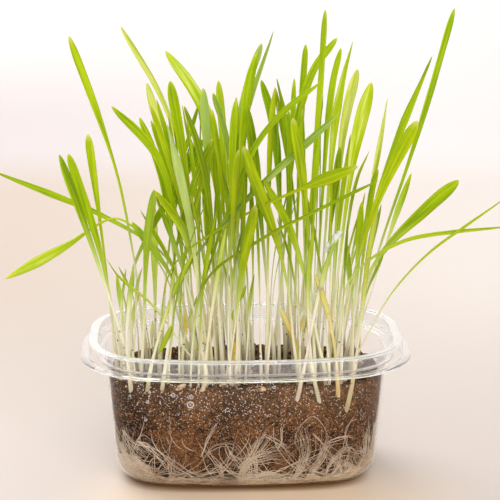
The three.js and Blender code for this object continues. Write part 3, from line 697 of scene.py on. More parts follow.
def root_material(name, pale, dark):
    """Pale roots, uneven in colour, fuzzy with root hairs, and with painted light that makes them paler at
    the tub's left end.
    """
    material, tree, shader = new_material(name)
    place, _ = object_place(tree)
    upright = add_node(tree, "ShaderNodeMapping", {"Vector": place, "Scale": (1, 1, 2.4)}).outputs["Vector"]
    streaks = cloudy(tree, upright, 520, 4, Distortion=1.4)
    shade = times(tree, streaks, cloudy(tree, place, 60, 2))
    x = add_node(tree, "ShaderNodeSeparateXYZ", {"Vector": place}).outputs["X"]
    # Painted light: towards the tub's left end the roots are painted paler.
    at_end = ease(tree, x, -0.07, -0.035, 0.75, 0)
    shade = scaled(tree, at_end, 0.12, shade)
    body = blend_colours(tree, ease(tree, shade, 0.12, 0.34), dark, pale)
    painted_light_at_left_end = times(tree, at_end, ease(tree, shade, 0.2, 0.5))
    body = blend_colours(tree, painted_light_at_left_end, body, (0.86, 0.72, 0.57))
    join(tree, Base_Color=body, Normal=bumped(tree, streaks, 0.8, 0.6 * MM))
    set_plain(shader, Roughness=0.6)
    let_light_in(shader, 0.15, (0.002, 0.0015, 0.001))
    return material


felt_piece = link_mesh(
    "root_felt", felt.shape, [root_material("root_felt", (0.55, 0.40, 0.25), (0.20, 0.12, 0.06))]
)
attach(felt_piece, "root")
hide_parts("root_mat")

# The strands run over the wall's inner face, each a thin closed tube along its own line.
LOWEST_ROOT = WALL + 0.8
HIGHEST_ROOT = ROOT_ZONE_TOP + 4
LONG_ROOTS = 170
BUNDLES = 34
FELT_ROOTS = 420
ROOT_SIDES = 4


def sweep(shape, middle, across, out, half_width, half_depth, fold, sides):
    """A closed stalk or blade along a line. Its section is an oval that may be folded backwards.
    Returns its vertices with their station, and the cosine and sine of their place round it."""
    count = len(middle)
    made = bmesh.ops.create_grid(shape, x_segments=count - 1, y_segments=sides, size=1)["verts"]
    flat = np.array([vertex.co.xy for vertex in made])
    station = np.rint((flat[:, 0] + 1) / 2 * (count - 1)).astype(int)
    angle = np.rint((flat[:, 1] + 1) / 2 * sides) * 2 * math.pi / sides
    aside = np.cos(angle)
    depth = half_depth[station] * np.sin(angle) - fold[station] * (1 - aside**2)
    places = (
        middle[station]
        + across[station] * (half_width[station] * aside)[:, None]
        + out[station] * depth[:, None]
    )
    for vertex, place in zip(made, places):
        vertex.co = place
    return made, station, aside, np.sin(angle)


def turned_along(middle, facing):
    """Unit ways across and out of the flat side, at each point of a line."""
    along = np.gradient(middle, axis=0)
    along /= np.linalg.norm(along, axis=1)[:, None]
    across = np.cross(np.broadcast_to(facing, along.shape), along)
    across /= np.linalg.norm(across, axis=1)[:, None]
    return across, np.cross(along, across)


def root_line(start, foot, heading, reach, bend, depth):
    """A root's line on the wall: it starts at a distance round the tub and a height."""
    points = []
    distance, height = start, foot
    steps = 14
    for i in range(steps + 1):
        at, out = round_the_tub(distance)
        level = max(height, LOWEST_ROOT)
        inset = inner_inset(level) + 0.25 + depth
        points.append((at - inset * out + Vector((0, 0, level))) * MM)
        wander = heading + bend * i / steps + 0.5 * noise.noise(Vector((start, i / 4, foot)))
        distance += reach / steps * math.cos(wander)
        height += reach / steps * math.sin(wander)
        if not LOWEST_ROOT <= height <= HIGHEST_ROOT:
            heading = -heading - 2 * bend * i / steps
            height = min(max(height, LOWEST_ROOT), HIGHEST_ROOT)
    return np.array(points)


strands = bmesh.new()


def add_root(line, thickness):
    """One root, thinner towards its far end."""
    share = np.linspace(0, 1, len(line))
    radius = thickness / 2 * MM * np.sqrt(np.clip(1.02 - share**2, 0, 1)) * np.clip(share * 30, 0.05, 1)
    facing = np.array([0.01, 0.02, 1.0])
    across, out = turned_along(line, facing)
    sweep(strands, line, across, out, radius, radius, 0 * radius, ROOT_SIDES)


# Long single roots that wander over the wall.
for _ in range(LONG_ROOTS):
    line = root_line(
        draws.uniform(0, OUTLINE_LENGTH),
        draws.uniform(4, 32),
        draws.uniform(0, math.tau),
        draws.uniform(14, 44),
        draws.choice((-1, 1)) * draws.uniform(0.6, 3.6),
        draws.uniform(0.1, 1.2),
    )
    add_root(line, draws.uniform(0.18, 0.42))
# Bundles that rise from the felt, fan out and bend over.
for _ in range(BUNDLES):
    start = draws.uniform(0, OUTLINE_LENGTH)
    foot = draws.uniform(3, 9)
    side = draws.choice((-1, 1))
    heading = math.pi / 2 - side * draws.uniform(0.2, 1.1)
    reach = draws.uniform(18, 40)
    bend = side * draws.uniform(-2.6, 2.6)
    for _ in range(draws.randrange(4, 9)):
        line = root_line(
            start + draws.uniform(-0.9, 0.9),
            foot + draws.uniform(-1, 1),
            heading + draws.uniform(-0.1, 0.1),
            reach * draws.uniform(0.5, 1.1),
            bend + draws.uniform(-0.6, 0.6),
            draws.uniform(0.05, 0.8),
        )
        add_root(line, draws.uniform(0.22, 0.55))
# Streams of many fine roots side by side. Each row is one on the front wall: where it starts
# across and up, its heading, reach and bend, its width, and how many roots it has.
STREAMS = [
    (-69, 27, -0.95, 30, 0.7, 9, 40), (-66, 22, -0.8, 30, 0.7, 8, 40), (-64, 31, -0.7, 30, 0.5, 3, 12),
    (-60, 18, -0.5, 26, 0.4, 6, 20), (-67, 14, -0.6, 26, 0.4, 8, 26), (-62, 9, -0.3, 26, 0.2, 6, 22),
    (-40, 6, 1.45, 15, 0.1, 2.4, 15), (-13.5, 6, 1.75, 13, 0.2, 2.4, 11), (-4.5, 9, 1.05, 30, 0, 2.6, 18),
    (-5, 13, 0.75, 30, -0.8, 2, 12), (22, 6, 0.75, 34, 1.25, 2.6, 18), (31, 6, 0.95, 27, 0.25, 2.4, 15),
    (41, 8, 1.45, 44, -2.9, 1.4, 10), (-9, 5, 0.5, 22, -1.0, 1.2, 6), (-27, 8, 0.35, 28, 0.1, 0.6, 3),
    (-24, 20, 1.4, 24, -0.6, 1.1, 5), (-21, 20, 1.3, 34, -3.1, 0.6, 3), (-12, 28, -1.05, 24, 0.1, 0.7, 4),
    (-48, 21, -0.9, 17, 0, 0.5, 3), (62, 6, 1.5, 24, 0.2, 6, 18), (66, 5, 1.6, 28, -0.2, 7, 18),
    (5, 7, 1.9, 20, -0.5, 1.6, 7), (15, 24, 1.1, 16, 0.7, 0.8, 4), (-57, 27, -0.25, 24, -0.3, 1.6, 8),
    (50, 6, 2.1, 22, 0.6, 1.2, 6), (58, 9, 2.8, 24, 0.2, 3, 16), (64, 12, 2.3, 20, 0.8, 4, 16),
    (40, 26, 0.35, 26, -0.5, 0.8, 4), (33, 33, -0.9, 26, 0.3, 0.9, 4), (8, 33, -0.5, 26, -0.4, 0.7, 3),
]
# Spots on the front wall from left to right: x, the distance round the tub, the place on the
# flange's edge and the way outwards there.
front_spots = []
for i in range(1440):
    distance = OUTLINE_LENGTH * i / 1440
    at, out = round_the_tub(distance)
    if at.y < 0:
        front_spots.append(((at - inner_inset(20) * out).x, distance, at, out))
front_spots.sort(key=lambda spot: spot[:2])
for x, foot, heading, reach, bend, width, count in STREAMS:
    start = float(np.interp(x, [spot[0] for spot in front_spots], [spot[1] for spot in front_spots]))
    for _ in range(count):
        line = root_line(
            start + draws.uniform(-0.5, 0.5) * width,
            foot + draws.uniform(-0.25, 0.25) * width,
            heading + draws.uniform(-0.07, 0.07),
            reach * draws.uniform(0.75, 1.05),
            bend + draws.uniform(-0.2, 0.2),
            draws.uniform(0, 0.55),
        )
        add_root(line, draws.uniform(0.18, 0.44))
# The felt's top layer, and its ragged upper edge.
for _ in range(FELT_ROOTS):
    line = root_line(
        draws.uniform(0, OUTLINE_LENGTH),
        draws.uniform(2, 11),
        draws.uniform(-0.55, 0.55) + draws.choice((0, math.pi)),
        draws.uniform(14, 46),
        draws.uniform(-1.5, 1.5),
        draws.uniform(-0.05, 0.5),
    )
    add_root(line, draws.uniform(0.2, 0.5))
bmesh.ops.remove_doubles(strands, verts=strands.verts, dist=1e-7)
strand_piece = link_mesh(
    "root_strands", strands, [root_material("root_strands", (0.62, 0.48, 0.335), (0.33, 0.21, 0.13))]
)
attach(strand_piece, "root")

# ---------------------------------------------------------------- the water on the wall
# Condensation: small bright beads cling to the inside of the front wall, most of them high up
# and towards the left, and a few larger clear ones among them.
# Each row is one of the larger ones: its place across and up, and its radius.
BEADS = [
    (-29.3, 49.5, 1.6), (-38, 54.5, 0.95), (-28.8, 53.6, 0.85), (-51, 50, 0.7), (-52, 40, 0.6),
    (13, 59, 0.7), (-50, 55.5, 0.5), (-60, 52, 0.5), (1, 46, 0.5), (32, 56, 0.5),
]
BEAD_COUNT = 260


def front_wall(x, height, clear):
    """How far forward the front wall's inner face is, at a place along it and a height."""
    inset = float(inner_inset(height) + clear)
    line = [at - inset * out for _, _, at, out in front_spots]
    return float(np.interp(x, [point.x for point in line], [point.y for point in line]))


def place_bead(x, height, radius):
    """Puts a flattened drop on the inside of the front wall."""
    centre = Vector((x, front_wall(x, height, 0.17), height)) * MM
    flat = Matrix.Diagonal((radius, 0.15, radius, 1))
    matrix = Matrix.Translation(centre) @ flat @ Matrix.Scale(MM, 4)
    bmesh.ops.create_uvsphere(beads, u_segments=8, v_segments=5, radius=1, matrix=matrix)


beads = bmesh.new()
for bead in BEADS:
    place_bead(*bead)
clear_faces = set(beads.faces)
for _ in range(BEAD_COUNT):
    along = draws.triangular(-66, 66, -40)
    place_bead(along, draws.triangular(36, 65, 60), draws.uniform(0.14, 0.3))
# The larger beads each have a milky ring and a small dot on them: painted highlights where they bend and
# reflect the light.
turns = np.linspace(0, math.tau, 17)
for x, height, radius in BEADS:
    back = front_wall(x, height, 0.12)
    rim = np.array([(x + radius * math.cos(t), back, height + radius * math.sin(t)) for t in turns]) * MM
    across, out = turned_along(rim, np.array([0.0, -1.0, 0.0]))
    thick = np.full(len(turns), 0.09 * MM * (0.8 + radius))
    sweep(beads, rim, across, out, thick, thick, 0 * thick, 6)
    spark = Matrix.Translation(Vector((x + 0.1 * radius, back, height)) * MM)
    bmesh.ops.create_icosphere(beads, subdivisions=1, radius=0.18 * radius * MM, matrix=spark)
bmesh.ops.remove_doubles(beads, verts=beads.verts, dist=1e-7)
for face in beads.faces:
    face.material_index = int(face not in clear_faces)
clear_water = clear_plastic("clear_water", (1, 1, 1), 1.2, 0.02, 0.02, 0.03)
# The rings and dots are painted highlights, made in a milky water.
painted_highlight_water = clear_plastic("painted_highlight_water", (1, 1, 1), 1.2, 0.55, 0.02, 0.03)
bead_piece = link_mesh("wall_droplets", beads, [clear_water, painted_highlight_water])
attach(bead_piece, "root")

# ---------------------------------------------------------------- the grass
# Wheat blades: round white stems that turn green and open into folded blades with a blunt or a
# pointed tip. Each follows its own shoot in the frame, and is drawn out finer than that one is.
CROWN_TOP = 52 * MM
RIM = RIM_HEIGHT * MM
TIP_LENGTHS = (8 * MM, 15 * MM)
POINT_LENGTH = 36 * MM
BLADE_DEPTH = 0.2 * MM
ROOT_ENDS = (44 * MM, 53 * MM)
FOOT_WIDTH = 0.87
NECK_WIDTH = 0.5
OPENS_AT = 0.46


def neighbours(vertex):
    """The vertices joined to one by an edge."""
    return [edge.other_vert(vertex) for edge in vertex.link_edges]


def opposite_pairs(ring):
    """The two pairs of facing corners of a four-sided section."""
    a, b, c, d = (np.array(vertex.co) for vertex in ring)
    pairings = (((a, b), (c, d)), ((a, c), (b, d)), ((a, d), (b, c)))
    return max(pairings, key=lambda pairs: sum(np.linalg.norm(p - q) for p, q in pairs))


def frame_shoots(name):
    """A plant's shoots as the frame has them, each a list of sections from its tip down."""
    plant = bmesh.new()
    plant.from_mesh(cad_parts[name].data)
    bmesh.ops.remove_doubles(plant, verts=plant.verts, dist=1e-6)
    steps = {vertex: 0 for vertex in plant.verts if vertex.co.z < CROWN_TOP}
    reached = list(steps)
    while reached:
        further = []
        for vertex in reached:
            for other in neighbours(vertex):
                if other not in steps:
                    steps[other] = steps[vertex] + 1
                    further.append(other)
        reached = further
    tips = [
        v for v in plant.verts if v.co.z > RIM and all(steps[n] < steps[v] for n in neighbours(v))
    ]
    shoots = []
    for tip in sorted(tips, key=lambda v: tuple(v.co)):
        sections = []
        seen = {tip}
        ring = [tip]
        while True:
            ring = list({n for v in ring for n in neighbours(v) if n not in seen})
            seen.update(ring)
            if len(ring) != 4 or min(v.co.z for v in ring) < (SOIL_HEIGHT + 2) * MM:
                break
            sections.append(opposite_pairs(ring))
        shoots.append((np.array(tip.co), sections))
    plant.free()
    return shoots


def shoot_line(tip, sections):
    """Middle, across, half width, half depth and fold at each section, from the stem to the tip."""
    widest = max(range(len(sections)), key=lambda i: max(np.linalg.norm(p - q) for p, q in sections[i]))
    chosen = [None] * len(sections)
    edge_pair = max(sections[widest], key=lambda pair: np.linalg.norm(pair[0] - pair[1]))
    across = edge_pair[0] - edge_pair[1]
    across /= np.linalg.norm(across)
    for order in (range(widest, -1, -1), range(widest, len(sections))):
        last = across
        for i in order:
            aligned = [abs(np.dot(p - q, last)) / np.linalg.norm(p - q) for p, q in sections[i]]
            which = int(np.argmax(aligned))
            pair, other = sections[i][which], sections[i][1 - which]
            way = pair[0] - pair[1]
            way *= np.sign(np.dot(way, last))
            middle = (pair[0] + pair[1]) / 2
            fold = (other[0] + other[1]) / 2 - middle
            half_depth = np.linalg.norm(other[0] - other[1]) / 2
            last = way / np.linalg.norm(way)
            chosen[i] = (middle, last, np.linalg.norm(way) / 2, half_depth, fold)
    back = chosen[widest][4]
    chosen = chosen[::-1]
    middle = np.array([c[0] for c in chosen] + [tip])
    ways = np.array([c[1] for c in chosen] + [chosen[-1][1]])
    if np.dot(np.cross(middle[-1] - middle[-2], ways[-1]), back) > 0:
        ways = -ways
    half_width = np.array([c[2] for c in chosen])
    half_depth = np.array([c[3] for c in chosen])
    fold = np.array([np.linalg.norm(c[4]) for c in chosen])
    return middle, ways, half_width, half_depth, fold


def smooth_line(points, values, count, ends):
    """Points drawn into a smooth curve of count points, with values eased between them."""
    gaps = np.linalg.norm(np.diff(points, axis=0), axis=1)
    at = np.concatenate([[0], np.cumsum(gaps)])
    slopes = np.gradient(points, at, axis=0)
    where = ends(np.linspace(0, 1, count)) * at[-1]
    which = np.clip(np.searchsorted(at, where, side="right") - 1, 0, len(gaps) - 1)
    width = gaps[which][:, None]
    t = ((where - at[which]) / gaps[which])[:, None]
    p0, p1 = points[which], points[which + 1]
    m0, m1 = slopes[which] * width, slopes[which + 1] * width
    line = (
        (2 * t**3 - 3 * t**2 + 1) * p0
        + (t**3 - 2 * t**2 + t) * m0
        + (3 * t**2 - 2 * t**3) * p1
        + (t**3 - t**2) * m1
    )
    eased = [np.interp(where, at[: len(v)], v) for v in values]
    return line, where, at[-1], eased


def towards_tip(share):
    """Spreads the stations so that they are closest together at the tip."""
    return 1 - (1 - share) ** 1.35


def eased_between(value, places, sizes):
    """Sizes at some places, eased from each to the next."""
    which = np.clip(np.searchsorted(places, value, side="right") - 1, 0, len(places) - 2)
    places, sizes = np.array(places), np.array(sizes)
    t = np.clip((value - places[which]) / (places[which + 1] - places[which]), 0, 1)
    return sizes[which] + (sizes[which + 1] - sizes[which]) * t * t * (3 - 2 * t)


def draw_shoot(
    shape, layers, guide, tone, twist, fineness, taper_length, opens=OPENS_AT, neck=NECK_WIDTH
):
    """A fine shoot along a guide: its middle, ways across, half width, half depth and fold.
    It is slimmest at its neck, above which it opens into the blade."""
    middle, ways, *values = guide
    stations, sides = fineness
    line, where, length, (wide, deep, bent) = smooth_line(middle, values, stations, towards_tip)
    given_at = np.linspace(0, length, len(ways))
    across = np.array([np.interp(where, given_at, ways[:, k]) for k in range(3)]).T
    along = np.gradient(line, axis=0)
    along /= np.linalg.norm(along, axis=1)[:, None]
    across -= along * np.sum(across * along, axis=1)[:, None]
    across /= np.linalg.norm(across, axis=1)[:, None]
    out = np.cross(along, across)
    share = where / length
    flat = np.clip((0.95 - deep / wide) / 0.5, 0, 1)
    flat = flat * flat * (3 - 2 * flat)
    turn = twist * (share - 0.35) * flat
    across, out = (
        across * np.cos(turn)[:, None] + out * np.sin(turn)[:, None],
        out * np.cos(turn)[:, None] - across * np.sin(turn)[:, None],
    )
    to_tip = np.clip((length - where) / taper_length, 0, 1)
    blunt = np.interp(taper_length, (TIP_LENGTHS[1], POINT_LENGTH), (0.56, 0.8))
    taper = (1 - (1 - to_tip) ** 1.9) ** blunt
    ripple = 1 + 0.06 * np.sin(where / (9 * MM) + 20 * tone[0]) * flat
    slim = eased_between(share, (0.1, 0.36, opens, min(opens + 0.38, 0.92)), (FOOT_WIDTH, neck, neck, 1))
    wide = np.maximum(wide * taper * ripple * slim, 1e-6)
    deep = np.where(flat > 0, deep * slim * (1 - flat) + BLADE_DEPTH * flat, deep * slim)
    deep = np.maximum(deep * np.minimum(1, to_tip * 2 + 0.2), 1e-6)
    deep[-1] = 1e-7
    wide[-1] = 1e-7
    channel = bent * taper * slim * (0.8 + 1.1 * tone[1]) * (0.6 + 0.4 * to_tip)
    made, station, aside, facing = sweep(shape, line, across, out, wide, deep, channel, sides)
    for vertex, i, side, side_depth in zip(made, station, aside, facing):
        vertex[layers["share"]] = share[i]
        vertex[layers["aside"]] = side
        vertex[layers["opened"]] = flat[i]
        vertex[layers["under"]] = float(side_depth < 0)
        vertex[layers["tone"]] = tone


def add_blade(
    shape, layers, tip, sections, tone, twist, fineness,
    width=1.0, opens=OPENS_AT, neck=NECK_WIDTH, point=0, lean=0,
):
    """A fine shoot along one of the frame's, with its foot drawn out into the soil. The length of
    its point, and how far it leans forwards, may be given in millimetres."""
    middle, ways, half_width, half_depth, fold = shoot_line(tip, sections)
    pointed = half_width[-1] < 0.4 * half_width[-2]
    half_width[-2:] = half_width[-2] / (0.33 if pointed else 1)
    deepest, highest = ROOT_ENDS
    lower = BACK_FALL * MM * backwards(middle[0, 1] / MM)
    root = middle[0] * (1, 1, 0) + (0, 0, deepest + (highest - deepest) * tone[2] - lower)
    middle = np.vstack([root, middle])
    rise = (middle[:, 2] - middle[0, 2]) / (middle[-1, 2] - middle[0, 2])
    middle = middle + np.outer(np.clip(rise, 0, 1), (0, -1, 0.2)) * lean * MM
    ways = np.vstack([ways[0], ways])
    values = [np.insert(v, 0, 0.5 * v[0]) * width for v in (half_width, half_depth, fold)]
    shortest, longest = TIP_LENGTHS
    taper_length = POINT_LENGTH if pointed else shortest + (longest - shortest) * tone[2]
    taper_length = point * MM if point else taper_length
    guide = (middle, ways, *values)
    draw_shoot(shape, layers, guide, tone, twist, fineness, taper_length, opens, neck)
    return guide


# Each blade's tone: how yellow, how bright, how far up the stem stays white, and how dry it is.
# The leading blades have their own first two, which are fresh where none are given. The others'
# are drawn.
PALE = (0.75, 1.05)
LIGHT = (0.55, 0.78)
WARM = (0.85, 0.5)
FRESH = (0.5, 0.45)
DEEP = (0.35, 0.12)
GREY = (0.05, 0.45)
DUSKY = (0.1, 0.32)
LOW_GREEN = -0.6
LEADING_TONES = {
    1: WARM, 2: DEEP, 4: WARM, 6: LIGHT, 7: (0.05, 0.95), 8: (0.15, 0.5), 9: DEEP, 10: (0.95, 1.0),
    11: (0.7, 1.15), 14: WARM, 15: (0.9, 1.15), 16: LIGHT, 19: DEEP, 21: GREY, 22: LIGHT, 23: DUSKY,
    25: DUSKY, 26: GREY, 28: DEEP, 29: (0.2, 0.3), 30: WARM, 32: (0.55, 0.55), 35: DEEP,
    36: (0.75, 0.3), 37: (0.75, 0.3), 38: (0.7, 0.35), 40: (0.3, 0.4), 41: (0.7, 0.42),
    42: (0.08, 0.2), 43: (0.4, 0.15), 44: LIGHT, 45: PALE, 46: LIGHT, 47: WARM, 49: (0.3, 1.1),
    52: WARM, 53: (0.22, 0.4), 55: (0.35, 0.3), 56: (0.5, 0.55), 57: (0.35, 0.6),
}
# Some leading blades are wider or slimmer than their solid, or open further up: their width, the
# share of their length from which they open, how slim the neck is, their point's length, and how
# far they lean forwards.
LEADING_FORMS = {
    1: (1.0, 0.62, 0.4), 4: (1.1, 0.62, 0.36), 5: (0.85, 0.4, 0.5), 6: (0.95, 0.7, 0.28, 24),
    7: (1.5, 0.4, 0.5), 10: (1.0, 0.4, 0.5), 12: (0.95, 0.46, 0.5, 18), 15: (1.02, 0.7, 0.27),
    16: (0.95, 0.46, 0.5, 20), 17: (1.15, 0.55, 0.46), 21: (1.1, 0.66, 0.3), 36: (0.88, 0.5, 0.45),
    37: (0.85, 0.4, 0.45), 38: (0.92, 0.62, 0.38, 0, 3), 40: (0.8, 0.4, 0.55, 26),
    41: (1.08, 0.83, 0.24, 20, 14), 42: (0.78, 0.42, 0.5, 20, -16), 43: (0.5, 0.3, 0.95, 20),
    45: (1.2, 0.56, 0.36), 46: (1.05, 0.56, 0.38), 52: (0.86, 0.5, 0.42), 54: (0.8, 0.5, 0.36, 20),
    55: (0.85, 0.42, 0.42), 56: (0.7, 0.4, 0.5), 57: (0.52, 0.4, 0.6),
}
LESSER_FORM = (0.8, 0.52, 0.38, 16)
TURNED = {41: 0.3}


def grass_layers(shape):
    """Where each vertex lies on its shoot, for the material."""
    verts = shape.verts.layers
    layers = {name: verts.float.new(name) for name in ("share", "aside", "opened", "under")}
    layers["tone"] = verts.float_color.new("tone")
    return layers


def blade_marks():
    """A group for wheat leaves: the fine veins that run along them, and their pale midrib."""
    outputs = {"Veins": "Float", "Midrib": "Float", "Edge": "Float"}
    group, given = new_group("blade_veins", {"Across": 0, "Opened": 0}, outputs)
    wave = calculate(group, "SINE", times(group, given["Across"], 34))
    from_middle = calculate(group, "ABSOLUTE", given["Across"])
    put_out(
        group,
        Veins=scaled(group, wave, 0.5, 0.5),
        Midrib=times(group, ease(group, from_middle, 0.02, 0.14, 1, 0), given["Opened"]),
        Edge=ease(group, from_middle, 0.8, 1),
    )
    return group


blade_veins = blade_marks()


def read_attribute(tree, name, output="Fac"):
    """One of the mesh's own attributes."""
    return add_node(tree, "ShaderNodeAttribute", {}, attribute_name=name).outputs[output]


def leaf_material():
    """A wheat shoot: cream at the foot, green above, thin enough for light to shine through."""
    material, tree, shader = new_material("wheat_leaf")
    place, height = object_place(tree)
    tone = split_colour(tree, read_attribute(tree, "tone", "Color"))
    yellow, bright, white = tone["Red"], tone["Green"], tone["Blue"]
    aside = read_attribute(tree, "aside")
    share = read_attribute(tree, "share")
    inputs = {"Across": aside, "Opened": read_attribute(tree, "opened")}
    marks = add_node(tree, "ShaderNodeGroup", inputs, node_tree=blade_veins).outputs
    cloud = cloudy(tree, place, 34, 3)
    # How bright the green is: as the shoot's tone says, but uneven over it and along it, and across it one
    # half is painted darker than the other as painted shade of the fold.
    uneven = scaled(tree, cloud, 0.5, -0.25)
    painted_fold_shade = times(tree, aside, ease(tree, white, 0, 1, -0.22, 0.22))
    brightness = calculate(tree, "ADD", calculate(tree, "ADD", bright, uneven), painted_fold_shade)
    stretched = {"X": times(tree, aside, 1.7), "Y": times(tree, share, 6), "Z": times(tree, white, 60)}
    lengthwise = add_node(tree, "ShaderNodeCombineXYZ", stretched).outputs["Vector"]
    drawn_out = scaled(tree, cloudy(tree, lengthwise, 1, 3), 1.5, -0.75)
    brightness = calculate(tree, "ADD", brightness, drawn_out)
    brightness = scaled(tree, marks["Edge"], -0.25, brightness)
    deep_green = blend_colours(tree, yellow, (0.11, 0.18, 0.0), (0.15, 0.21, 0.0))
    light_green = blend_colours(tree, yellow, (0.335, 0.45, 0.001), (0.44, 0.495, 0.001))
    green = blend_colours(tree, ease(tree, brightness, -0.15, 0.8), deep_green, light_green)
    green = blend_colours(tree, ease(tree, brightness, 0.72, 1.3), green, (0.74, 0.80, 0.25))
    dull = times(tree, ease(tree, yellow, 0.02, 0.2, 0.7, 0), ease(tree, brightness, -0.3, 0.5))
    green = blend_colours(tree, dull, green, (0.40, 0.49, 0.23))
    under = times(tree, read_attribute(tree, "under"), 0.4)
    green = blend_colours(tree, under, green, (0.28, 0.38, 0.045))
    green = blend_colours(tree, times(tree, marks["Veins"], 0.22), green, (0.47, 0.56, 0.02))
    green = blend_colours(tree, times(tree, marks["Midrib"], 0.3), green, (0.50, 0.59, 0.06))
    # The stem is cream up to where it greens, and muddy at its foot.
    rise = scaled(tree, share, 0.045, height)
    rise = scaled(tree, white, -0.03, rise)
    rise = scaled(tree, uneven, 0.04, rise)
    cream = blend_colours(tree, bright, (0.91, 0.86, 0.69), (0.82, 0.77, 0.50))
    stem = blend_colours(tree, ease(tree, rise, 0.09, 0.135), cream, (0.53, 0.64, 0.16))
    stem = blend_colours(tree, times(tree, marks["Veins"], 0.08), stem, (0.66, 0.62, 0.32))
    muddy = times(tree, ease(tree, height, 0.054, 0.075, 1.3, 0), cloud)
    stem = blend_colours(tree, muddy, stem, (0.27, 0.18, 0.10))
    shoot = blend_colours(tree, ease(tree, rise, 0.105, 0.16), stem, green)
    # Dry tips, dry shoots and a few specks of soil.
    dry_tip = times(tree, ease(tree, share, 0.965, 1), ease(tree, yellow, 0.4, 0.9))
    shoot = blend_colours(tree, times(tree, dry_tip, 0.6), shoot, (0.62, 0.52, 0.18))
    dryness = times(tree, read_attribute(tree, "tone", "Alpha"), 0.9)
    straw = blend_colours(tree, ease(tree, cloud, 0.4, 0.65), (0.66, 0.40, 0.07), (0.78, 0.62, 0.26))
    shoot = blend_colours(tree, dryness, shoot, straw)
    specks = add_node(tree, "ShaderNodeTexVoronoi", {"Vector": place, "Scale": 620}).outputs
    picked = calculate(tree, "GREATER_THAN", split_colour(tree, specks["Color"])["Red"], 0.955)
    speck = times(tree, picked, calculate(tree, "LESS_THAN", specks["Distance"], 0.36))
    speck = times(tree, speck, ease(tree, height, 0.075, 0.11, 0.85, 0))
    shoot = blend_colours(tree, speck, shoot, (0.09, 0.04, 0.02))
    ridges = bumped(tree, marks["Veins"], 0.35, 0.12 * MM)
    join(tree, Base_Color=shoot, Normal=ridges, Roughness=ease(tree, cloud, 0.2, 0.8, 0.34, 0.5))
    set_plain(shader, Specular_IOR_Level=0.1)
    let_light_in(shader, 0.45, (0.0012, 0.002, 0.0003))
    return material


wheat_leaf = leaf_material()
SHOOT_GROUPS = {
    "grass_left": range(1, 11),
    "grass_left_of_middle": range(11, 25),
    "grass_middle": range(25, 40),
    "grass_across_front": range(40, 44),
    "grass_right": range(44, 58),
}
tone_draws = random.Random(5)
guides = []
LEADER_FINENESS = (44, 12)
LESSER_FINENESS = (32, 10)
CROSSING = (40, 41, 42, 43)
for group_name, numbers in SHOOT_GROUPS.items():
    grass = bmesh.new()
    layers = grass_layers(grass)
    for number in numbers:
        shoots = frame_shoots(f"shoots_{number:02d}")
        if number in CROSSING:
            shoots.sort(key=lambda shoot: -shoot[0][0])
        else:
            shoots.sort(key=lambda shoot: -np.linalg.norm(shoot[0] - np.array([0, 0, 0.03])))
        for order, (tip, sections) in enumerate(shoots):
            leading = order == 0
            drawn = (tone_draws.uniform(0.15, 1), tone_draws.uniform(0.05, 0.6))
            hue = LEADING_TONES.get(number, FRESH) if leading else drawn
            white = LOW_GREEN if number in CROSSING else tone_draws.random()
            twist = tone_draws.uniform(-0.8, 0.8) if leading else tone_draws.uniform(-2, 2)
            twist = TURNED.get(number, twist) if leading else twist
            fineness = LEADER_FINENESS if leading else LESSER_FINENESS
            form = LEADING_FORMS.get(number, (1,)) if leading else LESSER_FORM
            guide = add_blade(grass, layers, tip, sections, (*hue, white, 0), twist, fineness, *form)
            if number not in CROSSING and abs(tip[0] - sections[-1][0][0][0]) < 30 * MM:
                guides.append(guide)
    bmesh.ops.remove_doubles(grass, verts=grass.verts, dist=2e-6)
    bmesh.ops.recalc_face_normals(grass, faces=grass.faces)
    grass_piece = link_mesh(group_name, grass, [wheat_leaf])
    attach(grass_piece, "root")
    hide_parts(*[f"shoots_{number:02d}" for number in numbers])

# Younger, thinner shoots stand between the others and lean across them. A few are dry.
YOUNG_COUNT = 8
YOUNG_FINENESS = (28, 8)
YOUNG_TIP = 14 * MM
ASIDE = 3.4 * MM
young = bmesh.new()
layers = grass_layers(young)
for _ in range(YOUNG_COUNT):
    middle, ways, *values = tone_draws.choice(guides)
    angle = tone_draws.uniform(0, math.tau)
    beside = np.array([ASIDE * math.cos(angle), ASIDE * math.sin(angle), 0])
    rise = (middle - middle[0]) * tone_draws.uniform(0.4, 0.85)
    rise[:, 0] += rise[:, 2] * tone_draws.uniform(-0.16, 0.16)
    rise[:, 1] *= 0.6
    thin = tone_draws.uniform(0.55, 0.8)
    yellow, bright, white = tone_draws.uniform(0.25, 1), tone_draws.uniform(0, 0.6), tone_draws.random()
    tone = (yellow, bright, white, float(tone_draws.random() < 0.08))
    guide = (middle[0] + beside + rise, ways, *[v * thin for v in values])
    twist = tone_draws.uniform(-2, 2)
    draw_shoot(young, layers, guide, tone, twist, YOUNG_FINENESS, YOUNG_TIP, 0.52, 0.38)

